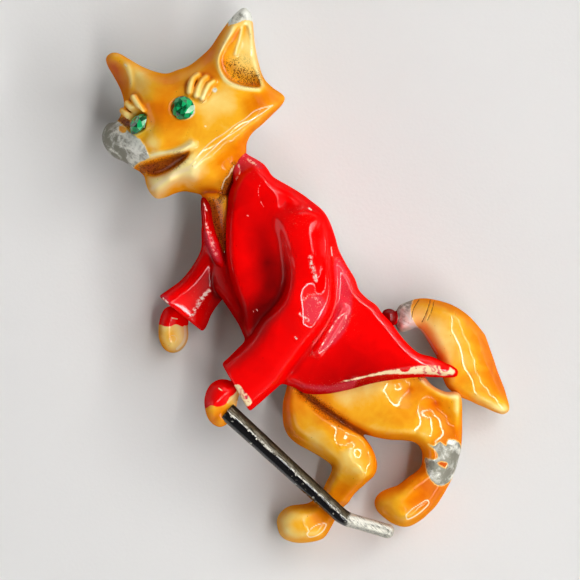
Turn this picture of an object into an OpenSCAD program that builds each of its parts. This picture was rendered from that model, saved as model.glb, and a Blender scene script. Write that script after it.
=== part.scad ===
// Enamelled brooch of a fox in a red coat, leaning on a stick, lying on its back.
// +X is to the right and +Y is up as the brooch is seen from the front, and +Z is towards the viewer.
// The origin is under the middle of the figure, on the surface that it lies on.

/* [Coat] */
// Width of the coat from the front edge to the tip of its tails
coat_w = 27.8; // [24:0.1:32]
// Height of the coat from the hem to the collar
coat_h = 26.8; // [23:0.1:31]
// Depth of the coat's body from its flat back to its front
coat_d = 7.6; // [6.5:0.1:9]
// Height of the coat's flat back above the surface
back_lift = 4.4; // [4:0.1:5.5]
// Depth of each sleeve from back to front
sleeve_d = 6.8; // [5.5:0.1:8]
// Thickness of the coat's wall at the cuffs
coat_wall = 1.1; // [0.8:0.1:1.4]
// Diameter of the rolled edge along the hem
hem_roll_d = 1.2; // [0.9:0.1:1.5]
// How far the hollow runs into each cuff
cuff_hollow = 1.2; // [0.8:0.1:1.6]

/* [Head] */
// Width of the head from the nose to the cheek point
head_w = 21.2; // [18:0.1:24]
// Height of the head from the chin to the tip of the near ear
head_h = 22.4; // [19:0.1:25]
// Depth of the head from back to front
head_d = 10.6; // [9:0.1:12]
// Height of the back of the head above the surface
head_lift = 2.6; // [2:0.1:4]
// Depth of the hollow in the near ear
ear_hollow = 2.2; // [1.5:0.1:2.8]
// Depth of the groove of the mouth
mouth_groove = 2.0; // [1.2:0.1:2.6]
// How far each eyelash stands out
lash_rise = 0.45; // [0.3:0.05:0.7]

/* [Eye stones] */
// Diameter of each eye stone at its girdle
stone_w = 2.8; // [2.4:0.1:3.2]
// Height of each stone above its girdle
crown_h = 0.62; // [0.4:0.02:0.8]
// Depth of each stone below its girdle
pavilion_h = 1.0; // [0.8:0.05:1.3]
// Number of sides of each stone's girdle
stone_sides = 16; // [16:2:20]

/* [Legs] */
// Width of the legs from the front toe to the rump
legs_w = 21.9; // [19:0.1:25]
// Height of the legs from the front foot to the top of the rump under the hem
legs_h = 20.5; // [18:0.1:23]
// Depth of the rump and the legs from back to front
legs_d = 8.8; // [7.5:0.1:10]

/* [Tail] */
// Width of the tail from its root to its tip
tail_w = 13.4; // [11:0.1:15]
// Height of the tail from its tip to its arch
tail_h = 13.8; // [12:0.1:16]
// Depth of the tail from back to front
tail_d = 5.4; // [4.5:0.1:6.5]
// Height of the back of the tail above the surface
tail_lift = 1.6; // [1:0.1:2.5]

/* [Paws] */
// Width of the near paw
near_paw_w = 4.7; // [4:0.1:5.4]
// Length of the near paw with the wrist that goes into the cuff
near_paw_h = 6.6; // [6:0.1:7.4]
// How far the back of the near paw stands above the back of the coat
near_paw_rise = 1.6; // [1.4:0.1:1.8]
// Width of the far paw
far_paw_w = 4.4; // [3.8:0.1:5]
// Length of the far paw with the wrist that goes into the cuff
far_paw_h = 7.2; // [6.4:0.1:8]
// Depth of each paw from back to front
paw_d = 4.6; // [4:0.1:5.2]

/* [Stick] */
// Diameter of the stick in the paw
stick_top_d = 2.2; // [1.8:0.1:2.4]
// Diameter of the stick where its foot starts
stick_low_d = 1.8; // [1.5:0.1:2]
// Length of the straight stick
stick_len = 19; // [16:0.1:21]
// Length of the bent foot of the stick
stick_foot_len = 6.4; // [5:0.1:8]
// Width of the foot of the stick as seen from the front
stick_foot_w = 1.7; // [1.4:0.1:2]
// Thickness of the foot of the stick
stick_foot_t = 1.2; // [0.9:0.1:1.5]

/* [Pin] */
// Length of the bar that carries the pin
bar_len = 22; // [19:0.5:24]
// Width of the bar
bar_w = 3.0; // [2.4:0.1:3.6]
// Thickness of the bar
bar_t = 0.8; // [0.6:0.1:1]
// Diameter of the pin stem
stem_d = 0.9; // [0.7:0.05:1.1]
// Outer diameter of the catch and of the joint barrel
barrel_d = 2.6; // [2.2:0.1:3]

/* [Fit] */
// Gap between two pieces that fit together
seat_gap = 0.08; // [0.05:0.01:0.12]

/* [Hidden] */

enamel_orange = [0.95, 0.56, 0.10];
enamel_red = [0.85, 0.03, 0.03];
enamel_black = [0.08, 0.07, 0.07];
stone_green = [0.02, 0.45, 0.22];
pin_metal = [0.70, 0.68, 0.62];

// Columns of every table of sections: the two edges seen from the front as shares of the form's
// width and height, then its back and front as shares of its depth. One row is one section.
LEFT_X = 0;
LEFT_Y = 1;
RIGHT_X = 2;
RIGHT_Y = 3;
BACK = 4;
FRONT = 5;

// Lower left back corner of each form's box. Each form is placed by the point where it joins its neighbour.
coat_at = [-9.9, -13.5, back_lift];
function on_coat(x, y) = [coat_at.x + x * coat_w, coat_at.y + y * coat_h];

head_seat = [0.73, 0.05]; // the neck, in shares of the head's box
collar_mouth = on_coat(0.05, 0.89);
head_at = [collar_mouth.x - head_seat.x * head_w, collar_mouth.y - head_seat.y * head_h, head_lift];

legs_seat = [0.47, 0.95]; // the top of the rump
hem_middle = on_coat(0.61, 0.05);
legs_at = [hem_middle.x - legs_seat.x * legs_w, hem_middle.y - legs_seat.y * legs_h, 0];

tail_seat = [0.11, 0.72]; // the root
vent = on_coat(0.79, 0.25);
tail_at = [vent.x - tail_seat.x * tail_w, vent.y - tail_seat.y * tail_h, tail_lift];

near_paw_seat = [0.78, 0.72]; // the wrist
near_cuff = on_coat(0.05, 0.03);
near_paw_at = [near_cuff.x - near_paw_seat.x * near_paw_w, near_cuff.y - near_paw_seat.y * near_paw_h,
    back_lift + near_paw_rise];

far_paw_seat = [0.68, 0.90];
far_cuff = on_coat(-0.164, 0.41);
far_paw_at = [far_cuff.x - far_paw_seat.x * far_paw_w, far_cuff.y - far_paw_seat.y * far_paw_h, 0];

// Sections of the coat's body, from the collar to the hem
coat_rows = [
    [0.09, 0.97, 0.15, 0.99, -0.05, 0.72],
    [0.04, 0.89, 0.22, 0.94, -0.15, 0.85],
    [0.02, 0.81, 0.33, 0.87, -0.25, 0.95],
    [0.02, 0.71, 0.42, 0.76, -0.30, 1.00],
    [0.03, 0.57, 0.50, 0.58, -0.30, 1.00],
    [0.06, 0.43, 0.59, 0.44, -0.30, 0.98],
    [0.10, 0.26, 0.71, 0.29, -0.30, 0.94],
    [0.20, 0.12, 0.83, 0.17, -0.30, 0.88],
    [0.28, 0.01, 1.00, 0.07, -0.30, 0.82],
];
// The collar, which stands up behind the neck
collar_rows = [
    [0.080, 1.065, 0.105, 1.070, 0.30, 0.64],
    [0.085, 1.020, 0.150, 1.015, 0.10, 0.78],
    [0.080, 0.965, 0.200, 0.960, 0.05, 0.90],
    [0.060, 0.910, 0.240, 0.910, 0.10, 0.88],
];
// The rolled front edge, from the collar to its point
lapel_rows = [
    [0.09, 0.97, 0.17, 1.00, 0.20, 0.80],
    [0.04, 0.90, 0.20, 0.93, 0.20, 1.00],
    [0.01, 0.81, 0.18, 0.83, 0.20, 1.08],
    [0.01, 0.68, 0.17, 0.68, 0.20, 1.08],
    [0.03, 0.55, 0.19, 0.55, 0.20, 1.08],
    [0.06, 0.43, 0.20, 0.42, 0.20, 1.05],
    [0.09, 0.32, 0.16, 0.31, 0.20, 0.95],
    [0.11, 0.26, 0.13, 0.26, 0.20, 0.80],
];
// The far lapel, which stands behind the chest
far_lapel_rows = [
    [-0.09, 0.84, -0.06, 0.83, 0.10, 0.45],
    [-0.08, 0.74, -0.03, 0.74, 0.05, 0.58],
    [-0.05, 0.62, 0.02, 0.64, 0.05, 0.62],
    [0.00, 0.52, 0.06, 0.54, 0.05, 0.66],
];
// The far front of the coat, which runs down behind the near one
far_front_rows = [
    [-0.07, 0.68, 0.10, 0.74, -0.10, 0.52],
    [-0.06, 0.57, 0.12, 0.60, -0.15, 0.58],
    [0.00, 0.41, 0.14, 0.44, -0.15, 0.62],
    [0.06, 0.30, 0.16, 0.33, -0.10, 0.62],
    [0.10, 0.24, 0.14, 0.26, 0.00, 0.55],
];
// The near sleeve from the shoulder to the cuff. Its depths are shares of the sleeve's depth.
near_sleeve_rows = [
    [0.28, 0.87, 0.37, 0.82, 0.60, 0.98],
    [0.22, 0.79, 0.44, 0.75, 0.52, 1.32],
    [0.22, 0.70, 0.46, 0.68, 0.44, 1.44],
    [0.23, 0.58, 0.47, 0.57, 0.42, 1.46],
    [0.24, 0.46, 0.49, 0.40, 0.40, 1.44],
    [0.18, 0.32, 0.43, 0.20, 0.36, 1.38],
    [0.10, 0.23, 0.31, 0.08, 0.30, 1.30],
    [0.00, 0.13, 0.13, -0.07, 0.26, 1.24],
];
// The far sleeve from under the coat to the cuff
far_sleeve_rows = [
    [0.00, 0.62, 0.12, 0.38, -0.30, 0.48],
    [-0.05, 0.62, 0.05, 0.37, -0.42, 0.48],
    [-0.10, 0.59, 0.00, 0.37, -0.52, 0.46],
    [-0.17, 0.49, -0.04, 0.34, -0.58, 0.42],
    [-0.26, 0.42, -0.08, 0.27, -0.62, 0.38],
];
// Outline of the head going round from the near ear, with the height of its edge as a share of the depth
head_outline = [
    [0.76, 1.00, 0.62], [0.82, 0.92, 0.58], [0.84, 0.76, 0.52], [0.89, 0.63, 0.48], [1.00, 0.55, 0.45],
    [0.95, 0.48, 0.42], [0.86, 0.37, 0.40], [0.77, 0.25, 0.40], [0.67, 0.10, 0.38], [0.56, 0.02, 0.38],
    [0.48, 0.05, 0.40], [0.39, 0.03, 0.42], [0.28, 0.00, 0.44], [0.23, 0.06, 0.44], [0.21, 0.14, 0.42],
    [0.13, 0.21, 0.42], [0.05, 0.27, 0.42], [0.02, 0.34, 0.42], [0.04, 0.41, 0.42], [0.09, 0.44, 0.40],
    [0.11, 0.52, 0.36], [0.07, 0.64, 0.32], [0.02, 0.74, 0.30], [0.08, 0.77, 0.32], [0.24, 0.69, 0.44],
    [0.34, 0.66, 0.50], [0.46, 0.69, 0.54], [0.57, 0.82, 0.58], [0.67, 0.95, 0.60],
];
head_middle = [0.50, 0.44];
// Steps of the dome: share of the way out from the middle, and share of the rise
head_steps = [[1.00, 0.00], [0.94, 0.30], [0.80, 0.52], [0.60, 0.74], [0.35, 0.92], [0.12, 1.00]];
head_rise = 0.38;
head_fall = 0.34;
// The muzzle from the forehead to the nose
muzzle_rows = [
    [0.18, 0.68, 0.50, 0.64, 0.36, 0.60],
    [0.16, 0.58, 0.55, 0.53, 0.30, 0.78],
    [0.15, 0.48, 0.57, 0.41, 0.26, 0.90],
    [0.13, 0.39, 0.50, 0.26, 0.24, 0.92],
    [0.03, 0.35, 0.34, 0.20, 0.22, 0.84],
    [0.00, 0.30, 0.19, 0.17, 0.26, 0.72],
    [0.03, 0.26, 0.10, 0.20, 0.34, 0.60],
];
// The jaw and the ruff of the cheek, from the chin to the cheek point
jaw_rows = [
    [0.23, 0.05, 0.29, 0.00, 0.34, 0.56],
    [0.27, 0.11, 0.37, 0.03, 0.28, 0.72],
    [0.38, 0.19, 0.49, 0.06, 0.24, 0.86],
    [0.54, 0.31, 0.66, 0.14, 0.20, 0.94],
    [0.72, 0.45, 0.82, 0.31, 0.22, 0.88],
    [0.88, 0.55, 0.94, 0.46, 0.30, 0.70],
    [0.98, 0.57, 1.00, 0.54, 0.40, 0.54],
];
// The near ear from its tip to the brow
near_ear_rows = [
    [0.728, 0.985, 0.782, 0.988, 0.545, 0.645],
    [0.66, 0.92, 0.82, 0.91, 0.42, 0.74],
    [0.58, 0.81, 0.84, 0.76, 0.31, 0.84],
    [0.52, 0.71, 0.88, 0.64, 0.225, 0.92],
    [0.50, 0.62, 0.93, 0.54, 0.20, 0.90],
    [0.50, 0.52, 0.92, 0.46, 0.24, 0.72],
];
// The hollow of the near ear. Its back is the rim that the hollow's depth is measured from.
ear_hollow_rows = [
    [0.737, 0.935, 0.772, 0.935, 0.75, 1.05],
    [0.680, 0.85, 0.825, 0.85, 0.82, 1.24],
    [0.630, 0.74, 0.855, 0.74, 0.88, 1.36],
    [0.640, 0.65, 0.870, 0.64, 0.92, 1.40],
    [0.740, 0.58, 0.870, 0.58, 1.00, 1.30],
];
// The groove of the mouth, from its corner out to the lip. Its back is the surface that it is cut into.
mouth_rows = [
    [0.49, 0.245, 0.50, 0.225, 0.98, 1.40],
    [0.40, 0.215, 0.43, 0.175, 0.86, 1.50],
    [0.30, 0.195, 0.33, 0.130, 0.74, 1.50],
    [0.20, 0.180, 0.24, 0.110, 0.66, 1.40],
    [0.09, 0.170, 0.13, 0.090, 0.60, 1.30],
];
// The lashes, each from its root over the eye to its tip: x, y and height as shares of the head's box
lashes = [
    [[0.515, 0.64, 0.86], [0.487, 0.55, 0.86]],
    [[0.562, 0.63, 0.87], [0.532, 0.53, 0.86]],
    [[0.610, 0.61, 0.87], [0.554, 0.52, 0.86]],
    [[0.190, 0.53, 0.66], [0.225, 0.462, 0.79]],
    [[0.152, 0.493, 0.57], [0.193, 0.434, 0.715]],
    [[0.130, 0.455, 0.51], [0.163, 0.413, 0.645]],
];
// The neck and the chest, from inside the head to inside the coat
neck_rows = [
    [0.50, 0.16, 0.86, 0.40, 0.16, 0.78],
    [0.575, 0.03, 0.80, 0.24, 0.14, 0.74],
    [0.62, -0.09, 0.79, 0.05, 0.18, 0.66],
    [0.635, -0.23, 0.77, -0.12, 0.20, 0.52],
    [0.66, -0.33, 0.74, -0.26, 0.24, 0.44],
];
// The rump and the hind leg, from under the hem to the toe
hind_leg_rows = [
    [0.13, 0.94, 0.17, 0.82, 0.40, 0.75],
    [0.28, 0.98, 0.34, 0.69, 0.24, 0.94],
    [0.47, 1.00, 0.48, 0.63, 0.20, 1.00],
    [0.66, 1.00, 0.65, 0.59, 0.18, 1.00],
    [0.86, 0.97, 0.75, 0.56, 0.16, 0.94],
    [0.98, 0.86, 0.77, 0.53, 0.14, 0.86],
    [1.00, 0.68, 0.77, 0.48, 0.10, 0.80],
    [0.98, 0.48, 0.76, 0.43, 0.06, 0.74],
    [0.91, 0.30, 0.70, 0.38, 0.03, 0.70],
    [0.81, 0.16, 0.63, 0.33, 0.02, 0.68],
    [0.69, 0.09, 0.55, 0.27, 0.02, 0.64],
    [0.60, 0.12, 0.53, 0.21, 0.10, 0.50],
];
// The front leg and its foot
front_leg_rows = [
    [0.04, 0.92, 0.20, 0.88, 0.34, 0.80],
    [0.03, 0.74, 0.29, 0.74, 0.24, 0.88],
    [0.07, 0.61, 0.41, 0.66, 0.18, 0.90],
    [0.19, 0.52, 0.51, 0.55, 0.14, 0.86],
    [0.28, 0.45, 0.54, 0.46, 0.10, 0.78],
    [0.27, 0.37, 0.50, 0.37, 0.06, 0.68],
    [0.23, 0.29, 0.43, 0.28, 0.03, 0.60],
    [0.16, 0.23, 0.35, 0.17, 0.02, 0.58],
    [0.08, 0.22, 0.28, 0.06, 0.02, 0.60],
    [0.02, 0.18, 0.16, 0.00, 0.03, 0.56],
    [0.00, 0.12, 0.05, 0.03, 0.13, 0.42],
];
// The tail from its root under the coat to its tip
tail_rows = [
    [0.02, 0.64, -0.05, 0.82, 0.40, 0.78],
    [0.11, 0.69, 0.06, 0.91, 0.26, 0.84],
    [0.21, 0.74, 0.18, 0.99, 0.10, 0.94],
    [0.30, 0.64, 0.46, 0.97, 0.00, 1.00],
    [0.35, 0.50, 0.70, 0.79, 0.00, 1.00],
    [0.41, 0.32, 0.84, 0.56, 0.00, 0.98],
    [0.54, 0.18, 0.91, 0.34, 0.04, 0.90],
    [0.71, 0.09, 0.97, 0.19, 0.10, 0.78],
    [0.84, 0.03, 1.00, 0.09, 0.16, 0.62],
    [0.92, 0.00, 0.98, 0.03, 0.26, 0.46],
];
// Each paw from the wrist in the cuff to the knuckles
near_paw_rows = [
    [0.74, 1.00, 1.00, 0.74, 0.16, 0.84],
    [0.45, 0.86, 0.92, 0.58, 0.06, 0.94],
    [0.12, 0.66, 0.84, 0.32, 0.00, 1.00],
    [0.00, 0.41, 0.72, 0.14, 0.00, 1.00],
    [0.10, 0.17, 0.50, 0.03, 0.10, 0.88],
    [0.25, 0.06, 0.36, 0.01, 0.30, 0.66],
];
far_paw_rows = [
    [0.46, 0.96, 1.00, 0.80, 0.36, 0.82],
    [0.14, 0.77, 0.86, 0.54, 0.16, 0.96],
    [0.00, 0.46, 0.81, 0.36, 0.03, 1.00],
    [0.05, 0.20, 0.78, 0.16, 0.00, 0.94],
    [0.24, 0.03, 0.62, 0.02, 0.12, 0.76],
    [0.35, 0.00, 0.51, 0.00, 0.32, 0.56],
];

// The stick leans from the near paw down across the front foot.
stick_top = [near_paw_at.x + 0.59 * near_paw_w, near_paw_at.y + 0.26 * near_paw_h,
    near_paw_at.z + 0.56 * paw_d];
stick_lean = -42.6; // degrees, as seen from the front
stick_fall = 8; // degrees towards the surface
stick_foot_turn = -16.5; // degrees, as seen from the front
stick_foot_fall = 12;

// The pin runs slantwise over the back of the coat, from under the collar to the skirt.
bar_lean = -48; // degrees, as seen from the front
bar_middle = on_coat(0.40, 0.49);
catch_len = 2.0;
stem_z = barrel_d / 2;
hook_wall = 0.5;

// Places of the eye stones on the head, with the turn of each stone's face
function on_head(x, y, z) = [head_at.x + x * head_w, head_at.y + y * head_h, head_at.z + z * head_d];
near_eye_at = on_head(0.45, 0.468, 0.93);
near_eye_turn = [0, 14, 170];
far_eye_at = on_head(0.205, 0.385, 0.78);
far_eye_turn = [0, 62, 146];

// Smoothing between the rows of a table
function between(a, b, c, d, t) =
    0.5 * (2 * b + (c - a) * t + (2 * a - 5 * b + 4 * c - d) * t * t + (3 * b - a - 3 * c + d) * t * t * t);
function smooth_rows(rows, steps) =
    let (last = len(rows) - 1)
    [for (i = [0:last - 1]) for (k = [0:steps - 1])
        between(rows[max(i - 1, 0)], rows[i], rows[i + 1], rows[min(i + 2, last)], k / steps),
        rows[last]];

// One closed section in the upright plane through its two edges. The turn is 1 or -1, the way round.
function section(row, at, size, sides, grow, turn) =
    let (left = [at.x + row[LEFT_X] * size.x, at.y + row[LEFT_Y] * size.y],
        right = [at.x + row[RIGHT_X] * size.x, at.y + row[RIGHT_Y] * size.y],
        middle = (left + right) / 2,
        half = (right - left) / 2,
        along = half / norm(half),
        reach = norm(half) + grow,
        back = at.z + row[BACK] * size.z - grow,
        front = at.z + row[FRONT] * size.z + grow)
    [for (k = [0:sides - 1])
        let (a = turn * 360 * k / sides)
        [middle.x + along.x * reach * cos(a), middle.y + along.y * reach * cos(a),
            (back + front) / 2 + (front - back) / 2 * sin(a)]];

function centre(ring) = [for (axis = [0:2]) ([for (p = ring) p[axis]] * [for (p = ring) 1]) / len(ring)];
function moved(ring, by) = [for (p = ring) p + by];
// Pushes the two end rings out along the form by the growth, so that a cut clears the ends too
function with_ends(rings, grow) =
    let (last = len(rings) - 1,
        out_first = centre(rings[0]) - centre(rings[1]),
        out_last = centre(rings[last]) - centre(rings[last - 1]))
    [for (i = [0:last])
        i == 0 ? moved(rings[i], out_first * grow / norm(out_first))
        : i == last ? moved(rings[i], out_last * grow / norm(out_last)) : rings[i]];

// Closed skin over a stack of rings with the same number of points
module skin(rings) {
    sides = len(rings[0]);
    last = len(rings) - 1;
    points = [for (ring = rings) for (p = ring) p];
    walls = [for (i = [0:last - 1]) for (k = [0:sides - 1])
        let (a = i * sides + k, b = i * sides + (k + 1) % sides)
        each [[a, b, b + sides], [a, b + sides, a + sides]]];
    first_cap = [[for (k = [sides - 1:-1:0]) k]];
    last_cap = [[for (k = [0:sides - 1]) last * sides + k]];
    polyhedron(points, concat(walls, first_cap, last_cap));
}

// The way round that makes the skin of a table face outwards
function across(row, size) = [(row[RIGHT_X] - row[LEFT_X]) * size.x, (row[RIGHT_Y] - row[LEFT_Y]) * size.y];
function middle_of(row, size) = [(row[RIGHT_X] + row[LEFT_X]) * size.x, (row[RIGHT_Y] + row[LEFT_Y]) * size.y];
function turn_of(rows, size) =
    let (half = floor(len(rows) / 2),
        go = middle_of(rows[half], size) - middle_of(rows[half - 1], size),
        side = across(rows[half], size))
    side.x * go.y - side.y * go.x > 0 ? 1 : -1;

// Solid through the sections of a table
module loft(rows, at, size, sides = 16, steps = 2, grow = 0) {
    turn = turn_of(rows, size);
    rings = [for (row = smooth_rows(rows, steps)) section(row, at, size, sides, grow, turn)];
    skin(with_ends(rings, grow));
}

// Box and depth that each table is read in
coat_size = [coat_w, coat_h, coat_d];
sleeve_size = [coat_w, coat_h, sleeve_d];
head_size = [head_w, head_h, head_d];
legs_size = [legs_w, legs_h, legs_d];
tail_size = [tail_w, tail_h, tail_d];
near_paw_size = [near_paw_w, near_paw_h, paw_d];
far_paw_size = [far_paw_w, far_paw_h, paw_d];

// Star-shaped mass of the head, domed to the front and to the back
module head_dome(grow = 0) {
    outline = smooth_rows(concat(head_outline, [head_outline[0]]), 2);
    count = len(outline) - 1;
    function out_to(p, out) =
        let (flat = [head_w * (p[0] - head_middle.x), head_h * (p[1] - head_middle.y)])
        flat * out * (1 + grow / norm(flat));
    function ring(step, rise, gap) = [for (k = [0:count - 1])
        let (p = outline[k], q = out_to(p, step[0]))
        [head_at.x + head_w * head_middle.x + q.x, head_at.y + head_h * head_middle.y + q.y,
            head_at.z + head_d * (0.48 + (p[2] - 0.48) * step[0] + rise * step[1]) + gap]];
    steps_back = [for (i = [len(head_steps) - 1:-1:1]) ring(head_steps[i], -head_fall, -grow)];
    steps_front = [for (step = head_steps) ring(step, head_rise, step[1] > 0 ? grow : 0)];
    skin(concat(steps_back, steps_front));
}

module head_form(grow = 0) {
    head_dome(grow);
    loft(muzzle_rows, head_at, head_size, 18, 3, grow);
    loft(jaw_rows, head_at, head_size, 16, 3, grow);
    loft(near_ear_rows, head_at, head_size, 16, 3, grow);
    loft(neck_rows, head_at, head_size, 18, 3, grow);
}

module coat_body() {
    difference() {
        loft(coat_rows, coat_at, coat_size, 28, 3);
        translate([coat_at.x - coat_w, coat_at.y - coat_h, coat_at.z - coat_d])
            cube([3 * coat_w, 3 * coat_h, coat_d]);
    }
}

// Hollow of a cuff: the sleeve's end drawn in by the wall, from inside the sleeve to past its end
module cuff_cut(rows) {
    last = len(rows) - 1;
    turn = turn_of(rows, sleeve_size);
    mouth = section(rows[last], coat_at, sleeve_size, 20, -coat_wall, turn);
    before = section(rows[last - 1], coat_at, sleeve_size, 20, -coat_wall, turn);
    out = centre(mouth) - centre(before);
    way = out / norm(out);
    skin([moved(mouth, -cuff_hollow * way), moved(mouth, 2 * way)]);
}

// The rolled edge along the hem, which follows the front of the coat's last section
module hem_roll() {
    row = coat_rows[len(coat_rows) - 1];
    edge = section(row, coat_at, coat_size, 30, -hem_roll_d / 2, 1);
    for (k = [1:13])
        hull()
            for (p = [edge[k], edge[k + 1]])
                translate(p) sphere(d = hem_roll_d, $fn = 12);
}

module near_paw_form(grow = 0) loft(near_paw_rows, near_paw_at, near_paw_size, 14, 2, grow);
module far_paw_form(grow = 0) loft(far_paw_rows, far_paw_at, far_paw_size, 14, 2, grow);
module tail_form(grow = 0) loft(tail_rows, tail_at, tail_size, 16, 3, grow);
module legs_form(grow = 0) {
    loft(hind_leg_rows, legs_at, legs_size, 18, 3, grow);
    loft(front_leg_rows, legs_at, legs_size, 16, 3, grow);
}

module stick_form(grow = 0) {
    translate(stick_top) rotate([0, 90 + stick_fall, stick_lean]) {
        translate([0, 0, -grow])
            cylinder(h = stick_len + grow, d1 = stick_top_d + 2 * grow, d2 = stick_low_d + 2 * grow, $fn = 32);
        translate([0, 0, stick_len]) sphere(d = stick_low_d + 2 * grow, $fn = 24);
    }
    foot = stick_top + stick_len * [cos(stick_fall) * cos(stick_lean), cos(stick_fall) * sin(stick_lean),
        -sin(stick_fall)];
    translate(foot) rotate([0, stick_foot_fall, stick_foot_turn])
        hull() {
            sphere(d = stick_foot_t + 2 * grow, $fn = 16);
            translate([stick_foot_len - stick_foot_w / 2, 0, 0])
                scale([1, 1, stick_foot_t / stick_foot_w]) sphere(d = stick_foot_w + 2 * grow, $fn = 20);
        }
}

// Round cut stone with a table and three rows of facets. Its girdle is at the origin.
module stone() {
    main = stone_sides / 2;
    function ring(r, z, count, turn) = [for (k = [0:count - 1])
        [r * cos(360 * (k + turn) / count), r * sin(360 * (k + turn) / count), z]];
    table = ring(0.29 * stone_w, crown_h, main, 0);
    star = ring(0.405 * stone_w, 0.62 * crown_h, main, 0.5);
    girdle = ring(0.5 * stone_w, 0.04, stone_sides, 0);
    lower = ring(0.5 * stone_w, -0.04, stone_sides, 0);
    points = concat(table, star, girdle, lower, [[0, 0, -pavilion_h]]);
    s0 = main;
    g0 = 2 * main;
    l0 = g0 + stone_sides;
    tip = l0 + stone_sides;
    faces = concat(
        [[for (k = [main - 1:-1:0]) k]],
        [for (k = [0:main - 1]) [k, (k + 1) % main, s0 + k]],
        [for (k = [0:main - 1]) let (a = g0 + 2 * k) [k, s0 + k, a]],
        [for (k = [0:main - 1]) let (a = g0 + 2 * k) [k, a, s0 + (k + main - 1) % main]],
        [for (k = [0:main - 1]) let (a = g0 + 2 * k) [s0 + k, a + 1, a]],
        [for (k = [0:main - 1]) let (a = g0 + 2 * k)
            [s0 + k, g0 + (2 * k + 2) % stone_sides, a + 1]],
        [for (k = [0:stone_sides - 1]) let (n = (k + 1) % stone_sides) [g0 + k, g0 + n, l0 + n, l0 + k]],
        [for (k = [0:stone_sides - 1]) let (n = (k + 1) % stone_sides) [l0 + k, l0 + n, tip]]);
    polyhedron(points, faces);
}

// Cup that a stone sits in, open to the front
module stone_cup() {
    reach = stone_w / 2 + seat_gap;
    floor_z = -pavilion_h - 2 * seat_gap;
    rotate_extrude($fn = 28)
        polygon([[0, floor_z], [0.3, floor_z], [reach, -2 * seat_gap], [reach, 4 * crown_h], [0, 4 * crown_h]]);
}

module at_near_eye() translate(near_eye_at) rotate(near_eye_turn) children();
module at_far_eye() translate(far_eye_at) rotate(far_eye_turn) children();

// Ball drawn out from one place on the head to another
module ball_run(from, to, r) {
    hull() {
        translate(on_head(from.x, from.y, from.z)) sphere(r = r, $fn = 16);
        translate(on_head(to.x, to.y, to.z)) sphere(r = r, $fn = 16);
    }
}

module lash(line) {
    root = on_head(line[0].x, line[0].y, line[0].z);
    tip = on_head(line[1].x, line[1].y, line[1].z);
    hull() {
        translate(root) sphere(r = lash_rise, $fn = 12);
        translate(tip) sphere(r = lash_rise * 1.15, $fn = 12);
    }
}

module head() {
    color(enamel_orange) difference() {
        union() {
            head_form();
            for (line = lashes) lash(line);
            ball_run([0.075, 0.31, 0.62], [0.115, 0.27, 0.64], 0.085 * head_w);
            ball_run([0.28, 0.05, 0.52], [0.33, 0.07, 0.62], 0.05 * head_w);
        }
        loft(ear_hollow_rows, head_at - [0, 0, ear_hollow], head_size, 16, 3);
        loft(mouth_rows, head_at - [0, 0, mouth_groove], head_size, 12, 3);
        at_near_eye() stone_cup();
        at_far_eye() stone_cup();
    }
}

module coat() {
    color(enamel_red) difference() {
        union() {
            coat_body();
            hem_roll();
            loft(collar_rows, coat_at, coat_size, 14, 3);
            loft(lapel_rows, coat_at, coat_size, 16, 3);
            loft(far_lapel_rows, coat_at, coat_size, 12, 3);
            loft(far_front_rows, coat_at, coat_size, 14, 3);
            loft(near_sleeve_rows, coat_at, sleeve_size, 20, 3);
            loft(far_sleeve_rows, coat_at, sleeve_size, 18, 3);
        }
        cuff_cut(near_sleeve_rows);
        cuff_cut(far_sleeve_rows);
        head_form(seat_gap);
        legs_form(seat_gap);
        tail_form(seat_gap);
        near_paw_form(seat_gap);
        far_paw_form(seat_gap);
    }
}

module legs() color(enamel_orange) difference() {
    legs_form();
    stick_form(seat_gap);
}

module tail() color(enamel_orange) difference() {
    tail_form();
    legs_form(seat_gap);
}

module near_paw() color(enamel_orange) difference() {
    near_paw_form();
    stick_form(seat_gap);
}

module far_paw() color(enamel_orange) far_paw_form();

module stick() color(enamel_black) stick_form();

module eye_stone_near() color(stone_green) at_near_eye() stone();
module eye_stone_far() color(stone_green) at_far_eye() stone();

// Bar with the joint, the stem and the catch, all one piece. It runs along X before it is turned.
module pin_back() color(pin_metal) translate([bar_middle.x, bar_middle.y, 0]) rotate([0, 0, bar_lean]) {
    under = back_lift - seat_gap - bar_t;
    joint_x = -bar_len / 2 + barrel_d / 2;
    catch_x = bar_len / 2 - catch_len;
    translate([-bar_len / 2, -bar_w / 2, under]) cube([bar_len, bar_w, bar_t]);
    // joint: the barrel with a post up to the bar
    translate([joint_x, bar_w / 2, barrel_d / 2]) rotate([90, 0, 0]) cylinder(h = bar_w, d = barrel_d, $fn = 48);
    translate([joint_x - barrel_d / 2, -bar_w / 2, barrel_d / 2])
        cube([barrel_d, bar_w, under - barrel_d / 2 + bar_t / 2]);
    // stem with its point
    translate([joint_x, 0, stem_z]) rotate([0, 90, 0]) cylinder(h = catch_x - joint_x, d = stem_d, $fn = 32);
    translate([catch_x, 0, stem_z]) rotate([0, 90, 0])
        cylinder(h = catch_len + stem_d, d1 = stem_d, d2 = 0.25, $fn = 32);
    // catch: a hook open to one side, on a post
    difference() {
        union() {
            translate([catch_x, 0, barrel_d / 2]) rotate([0, 90, 0]) cylinder(h = catch_len, d = barrel_d, $fn = 48);
            translate([catch_x, -hook_wall, barrel_d / 2])
                cube([catch_len, 2 * hook_wall, under - barrel_d / 2 + bar_t / 2]);
        }
        translate([catch_x - hook_wall, 0, barrel_d / 2]) rotate([0, 90, 0])
            cylinder(h = catch_len + 2 * hook_wall, d = barrel_d - 2 * hook_wall, $fn = 48);
        translate([catch_x - hook_wall, 0, barrel_d / 2 - 0.65 * stem_d])
            cube([catch_len + 2 * hook_wall, barrel_d, 1.3 * stem_d]);
    }
}

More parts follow.
